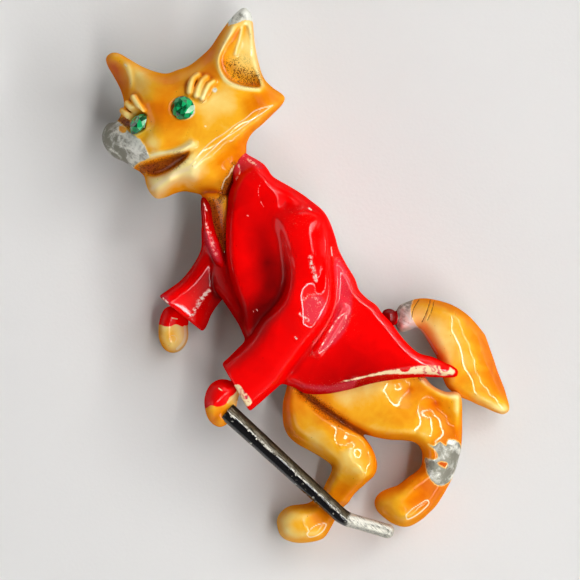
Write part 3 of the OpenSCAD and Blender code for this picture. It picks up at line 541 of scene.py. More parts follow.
# head: one cushion for the face with both ears and the jaw, then the ear's bowl, mouth, lashes and cups
headPlan = {
    "cell": 0.125, "block": ((-25.2, 0.4, 2.6), (-1.4, 32.4, 14.4)),
    "ridge": {"wide": 0.2, "thick": 0.26, "soft": 0.2},
    "nearLash": {"wide": 0.40, "thick": 0.72, "soft": 0.08},
    "farLash": {"wide": 0.40, "thick": 0.70, "soft": 0.08},
    "cupRadius": 1.50, "cupDepth": 1.15,
    "face": {
        "outline": [(244, 8), (250, 12), (252.6, 21), (254.7, 42), (258, 60), (264, 78.5), (273.6, 88.4),
            (282, 94), (285, 98), (282, 105), (273.6, 113.7), (262, 125), (252.6, 133), (247, 143),
            (246, 155), (240, 172), (232, 190), (226, 204), (214.7, 202), (206, 196), (196.5, 193.6),
            (184, 191.5), (175, 193.6), (164, 198), (156, 198.5), (149, 191), (146, 184), (144.5, 177),
            (140, 172), (133, 168), (130.5, 165.6), (122, 161), (112, 156), (103, 143), (102.4, 133),
            (108, 123.5), (116.5, 121.4), (122, 112), (124, 104), (121, 91), (114, 77), (107, 64.5),
            (106, 57.5), (111, 53), (118, 53), (129, 59), (143, 67), (156, 72), (167, 73.7), (178, 70),
            (189, 66), (202, 56), (210.5, 47.7), (220, 33.7), (234, 15.4)],
        "top": [(244, 12, 8.6), (238, 24, 9.2), (250, 24, 8.9), (230, 40, 10.2), (226, 60, 11.2),
            (222, 74, 11.5), (241, 88, 11.85), (258, 89, 11.4), (256, 62, 9.8), (253, 42, 9.4),
            (241, 60, 10.4), (212, 50, 9.4), (210, 62, 10.2), (284, 98, 8.9), (171, 180, 11.6),
            (156, 191, 10.2), (235, 106, 11.95), (214, 122, 12.2), (193, 136, 12.3), (185, 110, 12.25),
            (172, 110, 12.25), (185, 95, 12), (165, 85, 11.2), (170, 75, 10.2), (200, 68, 10.3),
            (146, 72, 9.6), (150, 100, 11.6), (153, 118, 11.6), (140, 125, 10.6), (132, 112, 9.7),
            (131, 95, 9.2), (129, 68, 8.5), (108, 58, 6.9), (115, 72, 7.1), (121, 90, 7.3),
            (124, 108, 7.5), (119, 122, 8.4), (108, 138, 8.6), (124, 140, 10.3), (140, 150, 11.2),
            (160, 150, 12), (180, 144, 12.2), (125, 156, 9.2), (150, 168, 10), (214, 173, 10.7),
            (200, 185, 9.6), (236, 158, 10.5), (226, 172, 10.2), (250, 96, 11.75), (228, 190, 9),
            (184, 188, 8.6), (165, 166, 10.4), (205, 118, 12.25), (226, 120, 12.15),
            *bevel([(187, 169.5, 12.3), (209, 153.5, 12.3), (231, 137.5, 12.2), (253, 120.5, 11.9),
            (271, 107, 11.3)], -54)],
        "back": [(244, 12, 6.6), (230, 60, 6.2), (165, 90, 5), (106, 58, 4.6), (108, 140, 4.8),
            (160, 190, 4.6), (284, 98, 4.6), (230, 180, 4.4), (190, 130, 4.2)],
        "edge": [(244, 12, 0.7), (226, 45, 1.3), (165, 75, 1.7), (110, 58, 1), (118, 90, 1.6),
            (105, 140, 2.3), (156, 192, 1.5), (190, 188, 1.8), (284, 98, 0.6), (262, 120, 0.8),
            (256, 60, 0.8), (230, 195, 1.6), (130, 165, 1.4)],
        "strokes": [([(234, 27), (226, 44), (219.5, 60), (223.5, 77), (240, 87), (259, 90)], 0.32, 0.28),
            ([(251.5, 28), (254.5, 48), (258.5, 66), (263, 80)], 0.3, 0.26),
            ([(127, 66), (131, 81), (129, 95), (126, 104)], 0.36, 0.36),
            ([(148, 158), (168, 154), (182, 150.5), (193, 144.5)], 0.34, 0.5),
            ([(150, 128), (142, 142), (150, 152)], 0.6, -0.18),
            ([(240, 143), (222, 160), (203, 176), (196, 188)], 0.9, -0.3),
            ([(117, 122), (125, 121), (131, 128)], 0.5, -0.5),
            ([(106, 131), (119, 139), (134, 151)], 0.6, 0.28), ([(108, 147), (122, 155)], 0.5, -0.25),
            ([(118, 132), (130, 138)], 0.4, -0.2)],
        "power": 2.3, "side": 0.45, "soft": 0.4,
    },
    "earBowl": {
        "outline": [(238.5, 26), (248, 25), (251.5, 34), (253.5, 48), (256, 62), (259, 76), (261, 88),
            (250, 88.5), (240, 86.5), (229, 82), (222, 73), (218.5, 60), (224, 46), (231.5, 35)],
        "top": 16.0, "edge": 0.4, "side": 0.5, "power": 2.0, "soft": 0.14,
        "back": [(243, 28, 8.8), (235, 42, 9.6), (248, 45, 9.4), (238, 60, 9.95), (251, 62, 9.85),
            (226, 60, 10), (230, 73, 10.2), (244, 80, 10.25), (256, 83, 10.3)],
    },
    "earRidge": [(241.5, 28, 8.95), (239, 42, 9.55), (235, 55, 9.9)],
    "mouth": {
        "outline": [(138, 168), (145, 163), (155, 159.5), (170, 157), (182, 153.5), (193, 149),
            (190, 156), (179, 166), (167, 174), (154, 178), (145, 176)],
        "top": 15.0, "edge": 0.6, "side": 0.5, "power": 2.0, "soft": 0.35,
        "back": [(142, 170, 8.6), (156, 168, 9.2), (170, 164, 10.1), (188, 154, 11.5)],
    },
    "nearLashes": [[(189.5, 93, 12.1), (191, 85, 12), (193.5, 79.5, 11.6), (198, 76, 11.2)],
        [(196.5, 96.5, 12.15), (199, 88, 12), (202, 82, 11.8), (206.5, 78.5, 11.4)],
        [(202.5, 99.5, 12.1), (205.5, 92, 12.05), (209, 86, 11.9), (214, 82.5, 11.5)]],
    "farLashes": [[(133.5, 98, 10.3), (143, 112, 11.2)], [(127.5, 104, 9.8), (138, 114.5, 10.8)],
        [(123, 111, 9.2), (132.5, 120, 10.2)]],
    "chest": {
        "outline": [(204, 192), (228, 196), (230, 220), (229, 250), (225, 266), (218, 256), (211, 240),
            (206, 222), (203, 206)],
        "top": [(208, 198, 8.2), (220, 205, 9.2), (216, 225, 8.4), (222, 250, 8.2), (226, 225, 9)],
        "back": 4.6, "edge": 0.8, "side": 0.5, "soft": 0.5,
    },
    "nearSeat": (-14.446, 19.715, 12.458), "nearEye": {"tilt": 14, "turn": 170},
    "farSeat": (-19.64, 17.856, 10.868), "farEye": {"tilt": 62, "turn": 146},
    "paint": {
        "smooth": 0.9,
        "tone": [(165, 85, -0.6), (200, 62, -0.4), (211, 68, -0.7), (240, 60, 0.9), (238, 75, 0.4),
            # painted shade: (117, 72), (122, 95) and (112, 60) darken the far ear's left plane, which faces
            # away
            (246, 40, 1.1), (150, 75, 0.3), (117, 72, -1.6), (122, 95, -1.6), (112, 60, -0.9),
            (130, 75, 0.5), (150, 105, -0.7), (165, 125, -0.5), (185, 125, -0.3), (158, 148, 0.5),
            (182, 143, 0.4), (205, 58, -0.9), (222, 36, -0.8), (212, 46, -1), (226, 44, -0.3),
            (225, 110, 1), (215, 132, 0.2), (240, 105, 0.2), (250, 95, -0.4), (262, 104, -0.9),
            (270, 100, -0.6), (250, 112, -0.3), (231, 138, 0.3), (205, 157, 0.6), (255, 119, 0.1),
            (228, 120, 0.2), (222, 160, -0.5), (189, 170, 1.5), (165, 185, 2), (178, 178, 2),
            (156, 193, 1.4), (150, 165, -1.2), (172, 162, -1.2), (215, 172, -0.2), (205, 188, 0.1),
            # painted shade: (225, 195), (213, 212), (220, 235) and (216, 250) darken the chest hollow
            (230, 160, -0.5), (238, 145, -0.6), (225, 195, -0.5), (213, 212, -1.3), (220, 235, -1.5),
            (216, 250, -1.5), (112, 140, -1.3), (125, 152, -0.8), (107, 130, -1.1), (245, 14, 0.1),
            (175, 189, 0.2), (138, 168, -0.6), (200, 90, 1.2), (135, 108, 0.8), (128, 114, 0.7),
            (138, 102, 0.8), (193, 88, 0.7), (207, 88, 0.7), (217, 99, 1.2), (152, 95, 0.2)],
        "bare": [[(228, 24), (233, 12), (243, 4), (256, 8), (256, 24), (251, 21.5), (246, 20.5),
            (240, 22.5), (236, 24.5)], [(98, 120), (112, 119), (120, 123), (128, 131), (136, 137),
            (142, 141.7), (146, 148), (149, 155), (150, 158), (143, 161), (136, 165), (131, 170),
            (118, 166), (95, 150)],
            [(213, 90), (215, 88.6), (217, 90), (217, 92.4), (215, 93.6), (213, 92.4)], [(185, 98.8),
            (192.5, 102), (195.7, 109.5), (192.5, 117), (185, 120.2), (177.5, 117), (174.3, 109.5),
            (177.5, 102)]],
        "islets": [[(119, 127), (123, 125.5), (127, 129), (126, 133), (121, 132.5)]],
        "streaks": [([(233, 28), (225, 45), (218.5, 60), (223, 77), (240, 88), (259, 90.5)], 0.22, 1),
            ([(252, 27), (255, 48), (260, 76)], 0.2, 0.7),
            # painted highlight: a cream line along the upper lip
            ([(150, 157), (168, 153), (182, 150), (191, 145.5)], 0.42, 1.7),
            ([(242, 28), (239, 42), (235, 55)], 0.14, 1)],
        "speck": [([(232, 68), (241, 75), (253, 79)], 1.35, 0.8), ([(240, 58), (248, 62)], 1, 0.35),
            ([(145, 169), (158, 167), (172, 163), (180, 158.5)], 0.85, 1.3),
            ([(119, 121), (128, 124)], 0.6, 1.2),
            # painted shade: brown specks on the neck beside the collar, and on the next line in the chest
            # hollow
            ([(236, 166), (231, 176), (225, 188), (221, 200)], 0.6, 1),
            ([(211, 206), (217, 225), (221, 246)], 1, 1.1)],
        "crack": [([(213, 92), (209, 98), (201, 105)], 0.055, 1), ([(190, 128), (186, 139)], 0.05, 0.8)],
        "dull": [([(244, 140), (234, 158), (222, 178), (214, 192)], 0.9, 0.9),
            ([(232, 130), (215, 146)], 0.4, 0.6), ([(244, 92), (258, 96), (262, 108)], 1.3, 1),
            ([(236, 148), (224, 160), (212, 174)], 1.1, 1)],
        # painted highlights: the jaw ridge's two outlined lines, the lip, the chin and the far ear's fold;
        # the rest are pale marks on the neck, ear tip and ear ridge, and a bubble
        "fleck": [([(232, 169), (229, 176), (225, 180), (222, 189)], 0.11, 1),
            ([(234, 166), (232, 172)], 0.1, 0.9), ([(273, 106), (261, 109.4), (253.8, 112.5), (245, 120),
            (235, 126), (225, 134), (213.8, 141), (203.8, 150), (197.5, 157.5), (190, 167.5)],
            0.11, 0.9), ([(273, 106), (263.8, 113), (255, 118.8), (245, 126), (235, 133), (222.5, 141),
            (212.5, 150.6), (205, 157.5), (193.8, 168)], 0.11, 0.9),
            ([(152, 156), (168, 152.5), (182, 148.5), (190, 145)], 0.24, 0.66),
            ([(153, 189), (170, 177), (188, 169.5)], 0.7, 0.68),
            ([(233, 13), (231, 19), (229, 26)], 0.16, 1),
            ([(241.5, 27), (239.5, 40), (236, 53)], 0.1, 0.62), ([(249, 22), (252, 30)], 0.08, 0.7),
            ([(205.6, 126.8), (206.4, 127.4)], 0.13, 1), ([(125.5, 65), (127, 66.5)], 0.14, 1)],
    },
}


def eyeAxis(tilt, turn):
    t, a = math.radians(tilt), math.radians(turn)
    return (math.sin(t) * math.cos(a), math.sin(t) * math.sin(a), math.cos(t))


def modelHead(plan):
    clay = Clay(*plan["block"], plan["cell"])
    clay.add(plan["face"])
    clay.add(plan["chest"])
    clay.carve(plan["earBowl"])
    clay.petal(plan["earRidge"], **plan["ridge"])
    clay.carve(plan["mouth"])
    for side in ("near", "far"):
        for line in plan[side + "Lashes"]:
            clay.petal(line, **plan[side + "Lash"])
    for side in ("near", "far"):
        clay.cup(plan[side + "Seat"], eyeAxis(**plan[side + "Eye"]), plan["cupRadius"], plan["cupDepth"])
    dress("headEnamel", clay, plan["paint"], "head", butter)


modelHead(headPlan)

# coat: body, lapels, collar and two sleeves melted together, each sleeve cut square at its cuff
coatPlan = {
    "cell": 0.15, "block": ((-19.0, -17.4, -0.4), (19.2, 16.4, 15.9)),
    "body": {
        "outline": [(262, 170), (270, 176), (287, 185), (306, 197), (320, 210), (329, 223), (335, 237),
            (338.5, 249), (346, 264), (355, 279), (359, 290), (367, 298.5), (376, 305), (382, 313),
            (390.5, 322), (401, 336), (410, 346), (419, 353), (433, 357), (445, 362.5), (453, 366.3),
            (458, 371), (457, 376), (452, 377.5), (431, 377), (413, 377.5), (389, 380.5), (371, 384),
            (343, 391), (322, 394.3), (304, 393), (294.5, 387.5), (283, 383.5), (270, 376), (256, 360),
            (246, 337), (236, 320), (222, 299), (212, 285), (208, 268), (212, 255), (222, 262),
            (227, 240), (227, 214), (231, 191), (240, 175)],
        "top": [(265, 180, 11.8), (284, 192, 11.9), (302, 205, 11.7), (322, 224, 11.2), (336, 252, 10.6),
            (344, 285, 10.6), (350, 320, 10.65), (342, 350, 10.6), (370, 320, 10.55), (385, 335, 10.4),
            (402, 352, 10.2), (370, 358, 10.5), (340, 372, 10.4), (312, 380, 10), (300, 384, 9.6),
            (356, 382, 10), (384, 374, 10.1), (420, 364, 9.9), (436, 367, 9.4), (450, 371, 8.6),
            (353, 284, 10.5), (380, 320, 10.45), (426, 359, 9.8), (240, 200, 10.2), (240, 300, 9.2),
            (225, 290, 8.2), (213, 270, 7.4), (250, 340, 9.4), (267, 270, 11.1), (262, 240, 11.5),
            (268, 300, 10.8), (258, 320, 10.4), (290, 360, 9.6)],
        "back": 4.45,
        "edge": [(300, 200, 1.5), (350, 280, 0.9), (400, 340, 0.75), (450, 368, 0.6), (330, 390, 1.5),
            (230, 280, 1), (235, 190, 0.9), (270, 370, 1.2)],
        "strokes": [([(352, 381.5), (383, 374.5), (406, 371.5), (428, 369.5), (452, 372)], 0.45, 0.42),
            ([(296, 383), (322, 387), (352, 381.5)], 0.6, 0.22),
            ([(342, 309), (331, 329), (317, 351)], 0.45, 0.5)],
        "power": 2.3, "side": 0.5, "soft": 0.3,
    },
    "lapel": {
        "outline": [(247, 167), (242, 171), (237, 178), (231, 191), (228, 210), (226.5, 230), (227, 256),
            (230, 275), (234, 290), (240, 306), (246, 337), (256, 334), (276, 318), (292, 298),
            (294, 270), (290, 240), (286, 215), (286, 196), (273, 180), (260, 166), (253, 163)],
        "top": [(232, 200, 11.6), (230, 240, 11.6), (236, 280, 11.3), (243, 310, 10.9), (246, 333, 10.3),
            (243, 240, 11.85), (248, 280, 11.5), (254, 310, 10.9), (250, 215, 11.95), (245, 190, 12),
            (256, 180, 12.2), (264, 200, 12.1), (262, 235, 11.75), (264, 275, 11.35), (250, 168, 11.6),
            (278, 200, 12.2), (276, 240, 11.6), (280, 280, 11.2), (276, 305, 10.8)],
        "back": 6.0,
        "edge": [(230, 200, 0.9), (228, 250, 0.9), (238, 305, 0.8), (285, 260, 1.5), (280, 200, 1.2),
            (260, 168, 0.9)],
        "strokes": [([(233, 214), (241, 206), (251, 204)], 0.5, 0.14)], "power": 2.1, "side": 0.5,
        "soft": 0.7,
    },
    "collar": {
        "outline": [(241, 148), (247, 154), (257, 160), (265, 166), (270, 177), (264, 188), (246, 184),
            (234, 180), (231, 168), (236, 156)],
        "top": [(243, 153, 9.6), (250, 165, 10.6), (262, 176, 11.4), (236, 172, 10.4)],
        "back": 5.0, "edge": 0.9,
        "strokes": [([(238, 158), (246, 166), (256, 166)], 0.3, 0.25),
            ([(242, 163), (240, 172)], 0.3, -0.25)],
        "side": 0.5, "soft": 0.3,
    },
    "farLapel": {
        "outline": [(202, 197), (208, 200), (213, 208), (214, 220), (217, 233), (222, 245), (226, 268),
            (217, 264), (209, 250), (203.5, 236), (201.5, 218)],
        "top": [(205, 202, 9.2), (208, 225, 9.6), (217, 250, 9.4), (222, 264, 9)],
        "back": 4.8, "edge": 0.6, "side": 0.5, "soft": 0.35,
    },
    "nearSleeve": {
        "outline": [(268, 214), (276, 206), (288, 202), (302, 203), (315, 207), (324, 214), (329, 226),
            (331.5, 239), (333, 262), (334, 285), (333, 300), (329, 317), (320, 332), (309, 347),
            (300, 359), (292, 369), (281, 383.5), (267, 396.5), (248, 413), (232, 426), (200, 392),
            (215, 370), (229, 357), (236, 350), (248, 337.5), (259, 319), (269, 309), (278, 298),
            (282, 285), (282, 270), (279, 258), (274, 240), (269, 226)],
        "top": [(286, 214, 12.6), (294, 222, 13), (310, 228, 12.95), (321, 238, 12.85), (302, 252, 13.6),
            (316, 256, 13.5), (326, 262, 13.35), (284, 250, 13), (286, 280, 13.5), (306, 276, 13.75),
            (318, 276, 13.7), (329, 280, 13.5), *glint(314, 311, 13.65, 50, 33, 26), (292, 296, 13.95),
            (284, 325, 13.4), (278, 338, 13), (262, 362, 12.2), (244, 386, 11.3), (228, 402, 10.7),
            (306, 345, 12.6), (280, 375, 11.6)],
        "back": [(300, 240, 6), (300, 300, 6), (260, 360, 6), (235, 390, 5.6)],
        "edge": [(280, 212, 2), (318, 216, 0.9), (278, 260, 2.4), (330, 262, 0.8), (332, 300, 0.55),
            (268, 320, 2.2), (250, 350, 2.3), (290, 365, 2), (240, 388, 2.2)],
        "strokes": [([(312, 258), (315, 274)], 0.3, 0.14)], "ends": [((247, 407), (221.5, 363))],
        "power": 2.2, "side": 0.45, "soft": 0.75,
    },
    "farSleeve": {
        "outline": [(203, 226), (201, 249), (193, 265), (181, 280), (165.5, 291.6), (148, 306),
            (190, 345), (204, 330), (207, 325), (211, 315), (221.6, 300), (232, 290), (240, 270),
            (225, 240)],
        "top": [(214, 252, 7.8), (200, 280, 7.4), (186, 302, 7.1), (176, 318, 6.7), (212, 290, 6.6)],
        "back": [(214, 252, 3.6), (186, 302, 1.6), (176, 318, 1)],
        "edge": [(214, 252, 2.2), (188, 300, 2.2), (176, 318, 2.1)],
        "ends": [((202, 331.5), (160, 297.5))], "power": 2.2, "side": 0.45, "soft": 0.35,
    },
    "paint": {
        "smooth": 0.8,
        # painted shade: the marks at x 262 to 270 going down to -1.1 darken the groove between the lapel and
        # the sleeve
        "tone": [(240, 240, 0.3), (262, 222, -0.3), (264, 240, -0.8), (266, 262, -1.1), (270, 288, -1.1),
            (264, 312, -1.1), (250, 290, -0.2), (250, 260, 0), (290, 300, 0.4), (250, 380, 0.3),
            (286, 250, 0.4), (280, 232, 0.1), (272, 225, -0.2), (280, 320, 0.3), (340, 340, 0.1),
            (205, 205, -0.9), (209, 217, -0.6), (213, 229, 0), (400, 355, 0.2), (330, 392, -0.7),
            # painted shade: (215, 280) and (230, 310) darken the far front panel beside the far sleeve
            (380, 382, -0.7), (190, 300, 0), (215, 280, -0.8), (230, 310, -0.8), (300, 220, 0.2),
            (255, 185, 0.2)],
        "bare": [[(338, 382), (350, 378.8), (366, 375), (383, 371), (406, 367.6), (428, 365),
            (450, 367.6), (455, 372), (451, 375.5), (428, 374), (405, 374), (385, 374), (366, 377.2),
            (350, 380.6)],
            [(234, 385), (239, 384), (245, 391), (250, 397), (252, 403), (247, 406), (240, 398)]],
        # worn patches: wear on the collar, far cuff and hem; the far lapel's, the elbow's and the band right
        # of the sleeve are a painted sheen and highlight
        "worn": [[(238, 148), (246, 151), (256, 160), (263, 169), (252, 167), (241, 173), (232, 174)],
            [(204, 232), (210, 234), (218, 248), (221, 263), (209, 254)],
            [(160, 295), (166, 296), (170, 303), (164, 304)],
            [(305, 301), (317, 295), (326, 302), (323, 315), (311, 324), (304, 318)], [(335, 258),
            (343, 264), (351, 290), (350, 318), (338, 340), (318, 352), (330, 328), (337, 300)],
            [(296, 384), (330, 386), (356, 380), (352, 388), (320, 391)]],
        "islets": [[(398, 364), (409, 364), (408, 371), (400, 370.5)],
            [(440, 363), (449, 364), (448, 370.5), (441, 370.5)]],
        # pale dots along these strokes: a painted sparkle in the sheen beside the sleeve, on the elbow,
        # shoulder, far lapel, crease and far sleeve, and dust on the hem and collar
        "speck": [([(338, 255), (344, 290), (346, 325)], 1.1, 1.1), ([(308, 318), (321, 303)], 1, 1.3),
            ([(295, 216), (312, 232)], 1.3, 0.45), ([(208, 238), (216, 256)], 0.7, 0.9),
            ([(338, 314), (315, 350)], 0.9, 0.9), ([(300, 386), (345, 386), (400, 376)], 0.8, 0.7),
            ([(196, 290), (206, 312)], 0.8, 0.4), ([(240, 155), (256, 168)], 0.9, 0.8)],
        # mostly painted highlights and glints: the dots, the crease's lens outlines, the elbow ring, the
        # sleeve streak, the notch line, the shoulder glint and the far lapel's and far sleeve's streaks; the
        # collar's are pale wear
        "fleck": [([(295.5, 337), (297, 338.5)], 0.16, 1), ([(163, 298), (168, 302.5)], 0.13, 1),
            ([(247, 215.5), (249, 216.5)], 0.1, 0.9),
            ([(253, 313), (255.5, 308), (258, 311.5)], 0.09, 0.75),
            ([(261, 182), (258.5, 192), (260, 200), (264, 208)], 0.1, 0.62),
            ([(240, 153), (247, 159), (256, 165)], 0.35, 0.62),
            ([(238, 163), (240, 172), (236, 180)], 0.22, 0.66),
            ([(310, 257), (312, 267), (316, 280)], 0.5, 0.64),
            ([(303, 299), (311, 295), (320, 303)], 0.7, 0.55), ([(300, 314), (308, 320)], 0.4, 0.6),
            ([(308, 208), (311, 210)], 0.16, 0.8), ([(331, 247), (332, 256)], 0.09, 0.85),
            ([(345, 313), (337, 319), (330, 330), (322, 345), (318, 352)], 0.12, 0.8),
            ([(346, 315), (345, 324), (337, 335), (327, 347), (319, 353)], 0.11, 0.76),
            ([(207, 224), (211, 238), (216, 254)], 0.5, 0.57), ([(204, 203), (207, 211)], 0.12, 0.8),
            ([(209, 291), (203, 297), (197, 306), (191, 317)], 0.42, 0.72)],
        "dull": [([(319, 212), (317, 235), (316, 262)], 1.2, 1), ([(284, 190), (290, 204)], 0.9, 1),
            ([(262, 166), (274, 182)], 0.6, 0.7), ([(323, 260), (324, 276), (319, 289)], 0.8, 1),
            ([(222, 262), (228, 285), (236, 305), (244, 325)], 1.3, 1),
            ([(235, 205), (234, 250), (238, 290), (248, 328)], 0.6, 1),
            ([(204, 262), (196, 276), (182, 292)], 0.8, 0.8)],
    },
}

coatForms = ("body", "collar", "farLapel", "farSleeve", "lapel", "nearSleeve")
enamelPiece("coatEnamel", coatPlan, coatForms, "coat", scarlet)

# legs: the rump with the hind leg, and the front leg laid over it
legsPlan = {
    "cell": 0.14, "block": ((-4.6, -33.0, -1.4), (20.4, -9.8, 10.6)),
    "hind": {
        "outline": [(300, 372), (340, 372), (380, 366), (410, 368), (424, 376), (430, 383), (435, 387),
            (441, 390), (447, 392), (454, 391.5), (458, 392.5), (461, 395.4), (462.3, 405), (462.5, 419),
            (462.5, 431), (462, 443), (461, 452), (459, 459), (455.6, 471.5), (450, 484), (441.5, 499),
            (436, 507), (429, 514), (423, 519.5), (416, 524), (410, 526.8), (404.5, 527.6), (397, 526),
            (390, 522.5), (384, 518), (379.5, 514), (376.5, 510), (374.6, 503), (376.5, 497),
            (380, 493.2), (384, 490.6), (390.5, 488), (397, 486), (404, 481), (409.6, 476.6), (415, 473),
            (419, 469.5), (421.5, 466), (422.5, 459), (422, 452), (419, 446), (413, 442), (403, 440.5),
            (390.5, 440), (378, 438), (367, 435), (350, 428), (330, 416), (312, 402), (297, 389)],
        "top": [(320, 385, 7.4), (340, 398, 7.9), (365, 402, 8.3), *glint(394, 387.5, 8.1, 12, 30, 8),
            (418, 398, 7.7), (436, 402, 7.2), (441, 391, 7.9), (457, 396, 7.5), (455, 410, 7.5),
            (385, 412, 8.5), (380, 430, 8.1), *glint(430, 427, 8.0, 8, 40, 15), (400, 430, 8.5),
            (448, 446, 6.7), (430, 446, 7.2), (442, 465, 6.4), (428, 482, 6.2),
            *glint(415, 508, 6.5, 38, 26, 9), (398, 500, 7), (386, 506, 6.3), (350, 385, 7.6),
            (400, 375, 7.4)],
        "back": [(340, 400, 2.6), (430, 400, 2.2), (445, 460, 1.2), (400, 505, 0.4)],
        "edge": [(340, 410, 1.2), (380, 430, 1.4), (440, 400, 0.9), (458, 425, 0.9), (442, 465, 1.6),
            (420, 490, 1.6), (430, 512, 1), (395, 508, 1.9), (410, 380, 1)],
        "strokes": [([(424, 378.5), (435, 387), (447, 392), (459, 393.5)], 0.42, 0.42)],
        "power": 2.2, "side": 0.45, "soft": 0.3,
    },
    "front": {
        "outline": [(297, 380), (288, 384), (285.5, 392), (283, 402), (282.4, 410), (282.7, 419),
            (284, 427), (287, 434), (292, 440), (298.5, 445), (306, 449), (315, 454), (323, 459),
            (328, 462.5), (331.5, 466), (331.5, 471), (329, 477.5), (326, 483), (323, 490), (317, 498),
            (308, 503.6), (299, 505), (291, 506), (284, 509.5), (279, 515), (276.8, 521), (277.5, 528.5),
            (279.6, 535), (284, 539.5), (289.4, 542), (296, 543.5), (303.5, 543.7), (313, 542.5),
            (322, 540), (326.5, 536), (329.5, 531), (333, 525), (337, 517), (342, 509), (348, 504),
            (352, 498), (357, 492), (362.5, 487), (368, 482), (373, 477.5), (376.3, 472), (377.3, 464),
            (375.5, 456), (372, 448), (367.5, 441), (362, 435), (355, 431), (347, 426), (333, 416.5),
            (320, 407), (307, 396), (300, 388)],
        "top": [(295, 392, 7.6), (298, 415, 8.3), (310, 428, 8.8), (322, 432, 9.25),
            *glint(341, 433.5, 9.05, 0, 15, 14), (350, 450, 8.9), *glint(363, 466, 8.2, -45, 13, 9),
            (350, 474, 7.4), (342, 480, 6.3), (354, 486, 6.4), (345, 494, 5.4), (330, 505, 4.7),
            *glint(316, 529, 5.6, 25, 22, 9), (304, 520, 6.1), (290, 525, 5.8), (335, 462, 7.9),
            (320, 450, 8.1)],
        "back": [(300, 400, 2.8), (350, 460, 2), (340, 500, 0.8), (300, 525, 0.3)],
        "edge": [(290, 400, 1.5), (305, 430, 1.9), (325, 415, 1), (350, 432, 0.55), (372, 462, 0.75),
            (345, 490, 1.2), (292, 523, 1.9), (325, 535, 0.9)],
        "power": 2.2, "side": 0.42, "soft": 0.28,
    },
    "paint": {
        "smooth": 0.9,
        "tone": [(297, 400, -0.3), (288, 425, -1), (300, 438, -0.3), (308, 420, 0.5), (315, 440, 0.7),
            # painted shade: (322, 410) and (345, 425) darken the line between thigh and rump
            (340, 450, 0.3), (322, 410, -1), (345, 425, -0.8), (356, 458, 0.5), (370, 452, -0.6),
            (345, 485, -0.6), (350, 475, 0.2), (338, 498, -0.8), (290, 528, 0.7), (315, 520, -0.3),
            (340, 400, 0.7), (370, 410, 0.3), (395, 420, 0), (380, 432, 0), (370, 425, 0.2),
            # painted shade: (420, 400) and (440, 403) darken the hollow in the rump
            (420, 400, -0.5), (440, 403, -0.7), (455, 400, 0.5), (458, 430, -0.9), (430, 430, 0.3),
            (445, 440, -0.7), (450, 480, -1), (430, 480, -1), (415, 490, -0.9), (395, 505, -0.2),
            (405, 520, -0.2), (440, 500, -1), (400, 385, 0.2), (444, 452, -1.2), (444, 472, -1.2)],
        "bare": [[(428, 444), (434, 446), (440, 442), (446, 446), (448, 440), (456, 441), (461, 446),
            (460, 462), (455, 474), (448, 483), (438, 485.5), (430, 478), (426, 466), (425.6, 458),
            (433, 460), (438, 457), (436, 451)]],
        "islets": [[(437, 463), (441, 461), (448, 463), (446, 468), (442, 467)]],
        # painted shade: the first stroke darkens the line between thigh and rump
        "speck": [([(298, 386), (318, 405), (342, 422)], 0.8, 0.9), ([(400, 372), (420, 377)], 0.6, 0.6)],
        "streaks": [([(424, 379.5), (435, 388), (447, 392.5), (460, 394)], 0.34, 1.7)],
        "dull": [([(396, 506), (408, 500), (420, 494)], 1.3, 1), ([(403, 384), (412, 388)], 0.5, 0.8),
            ([(450, 402), (455, 418), (455, 438)], 0.9, 0.9),
            ([(414, 400), (428, 404), (442, 406)], 1, 1)],
        # painted highlights: the outlines of the window's reflection on the hind foot and the front foot
        "fleck": [([(406, 515), (412, 509), (420, 504), (427, 500), (429, 503), (424, 509), (415, 516),
            (407, 519), (406, 515)], 0.09, 1.1), ([(307, 534), (312, 528), (320, 524), (326, 524),
            (324, 530), (316, 536), (309, 537), (307, 534)], 0.085, 1.05)],
    },
}

enamelPiece("legsEnamel", legsPlan, ("hind", "front"), "legs", butter)

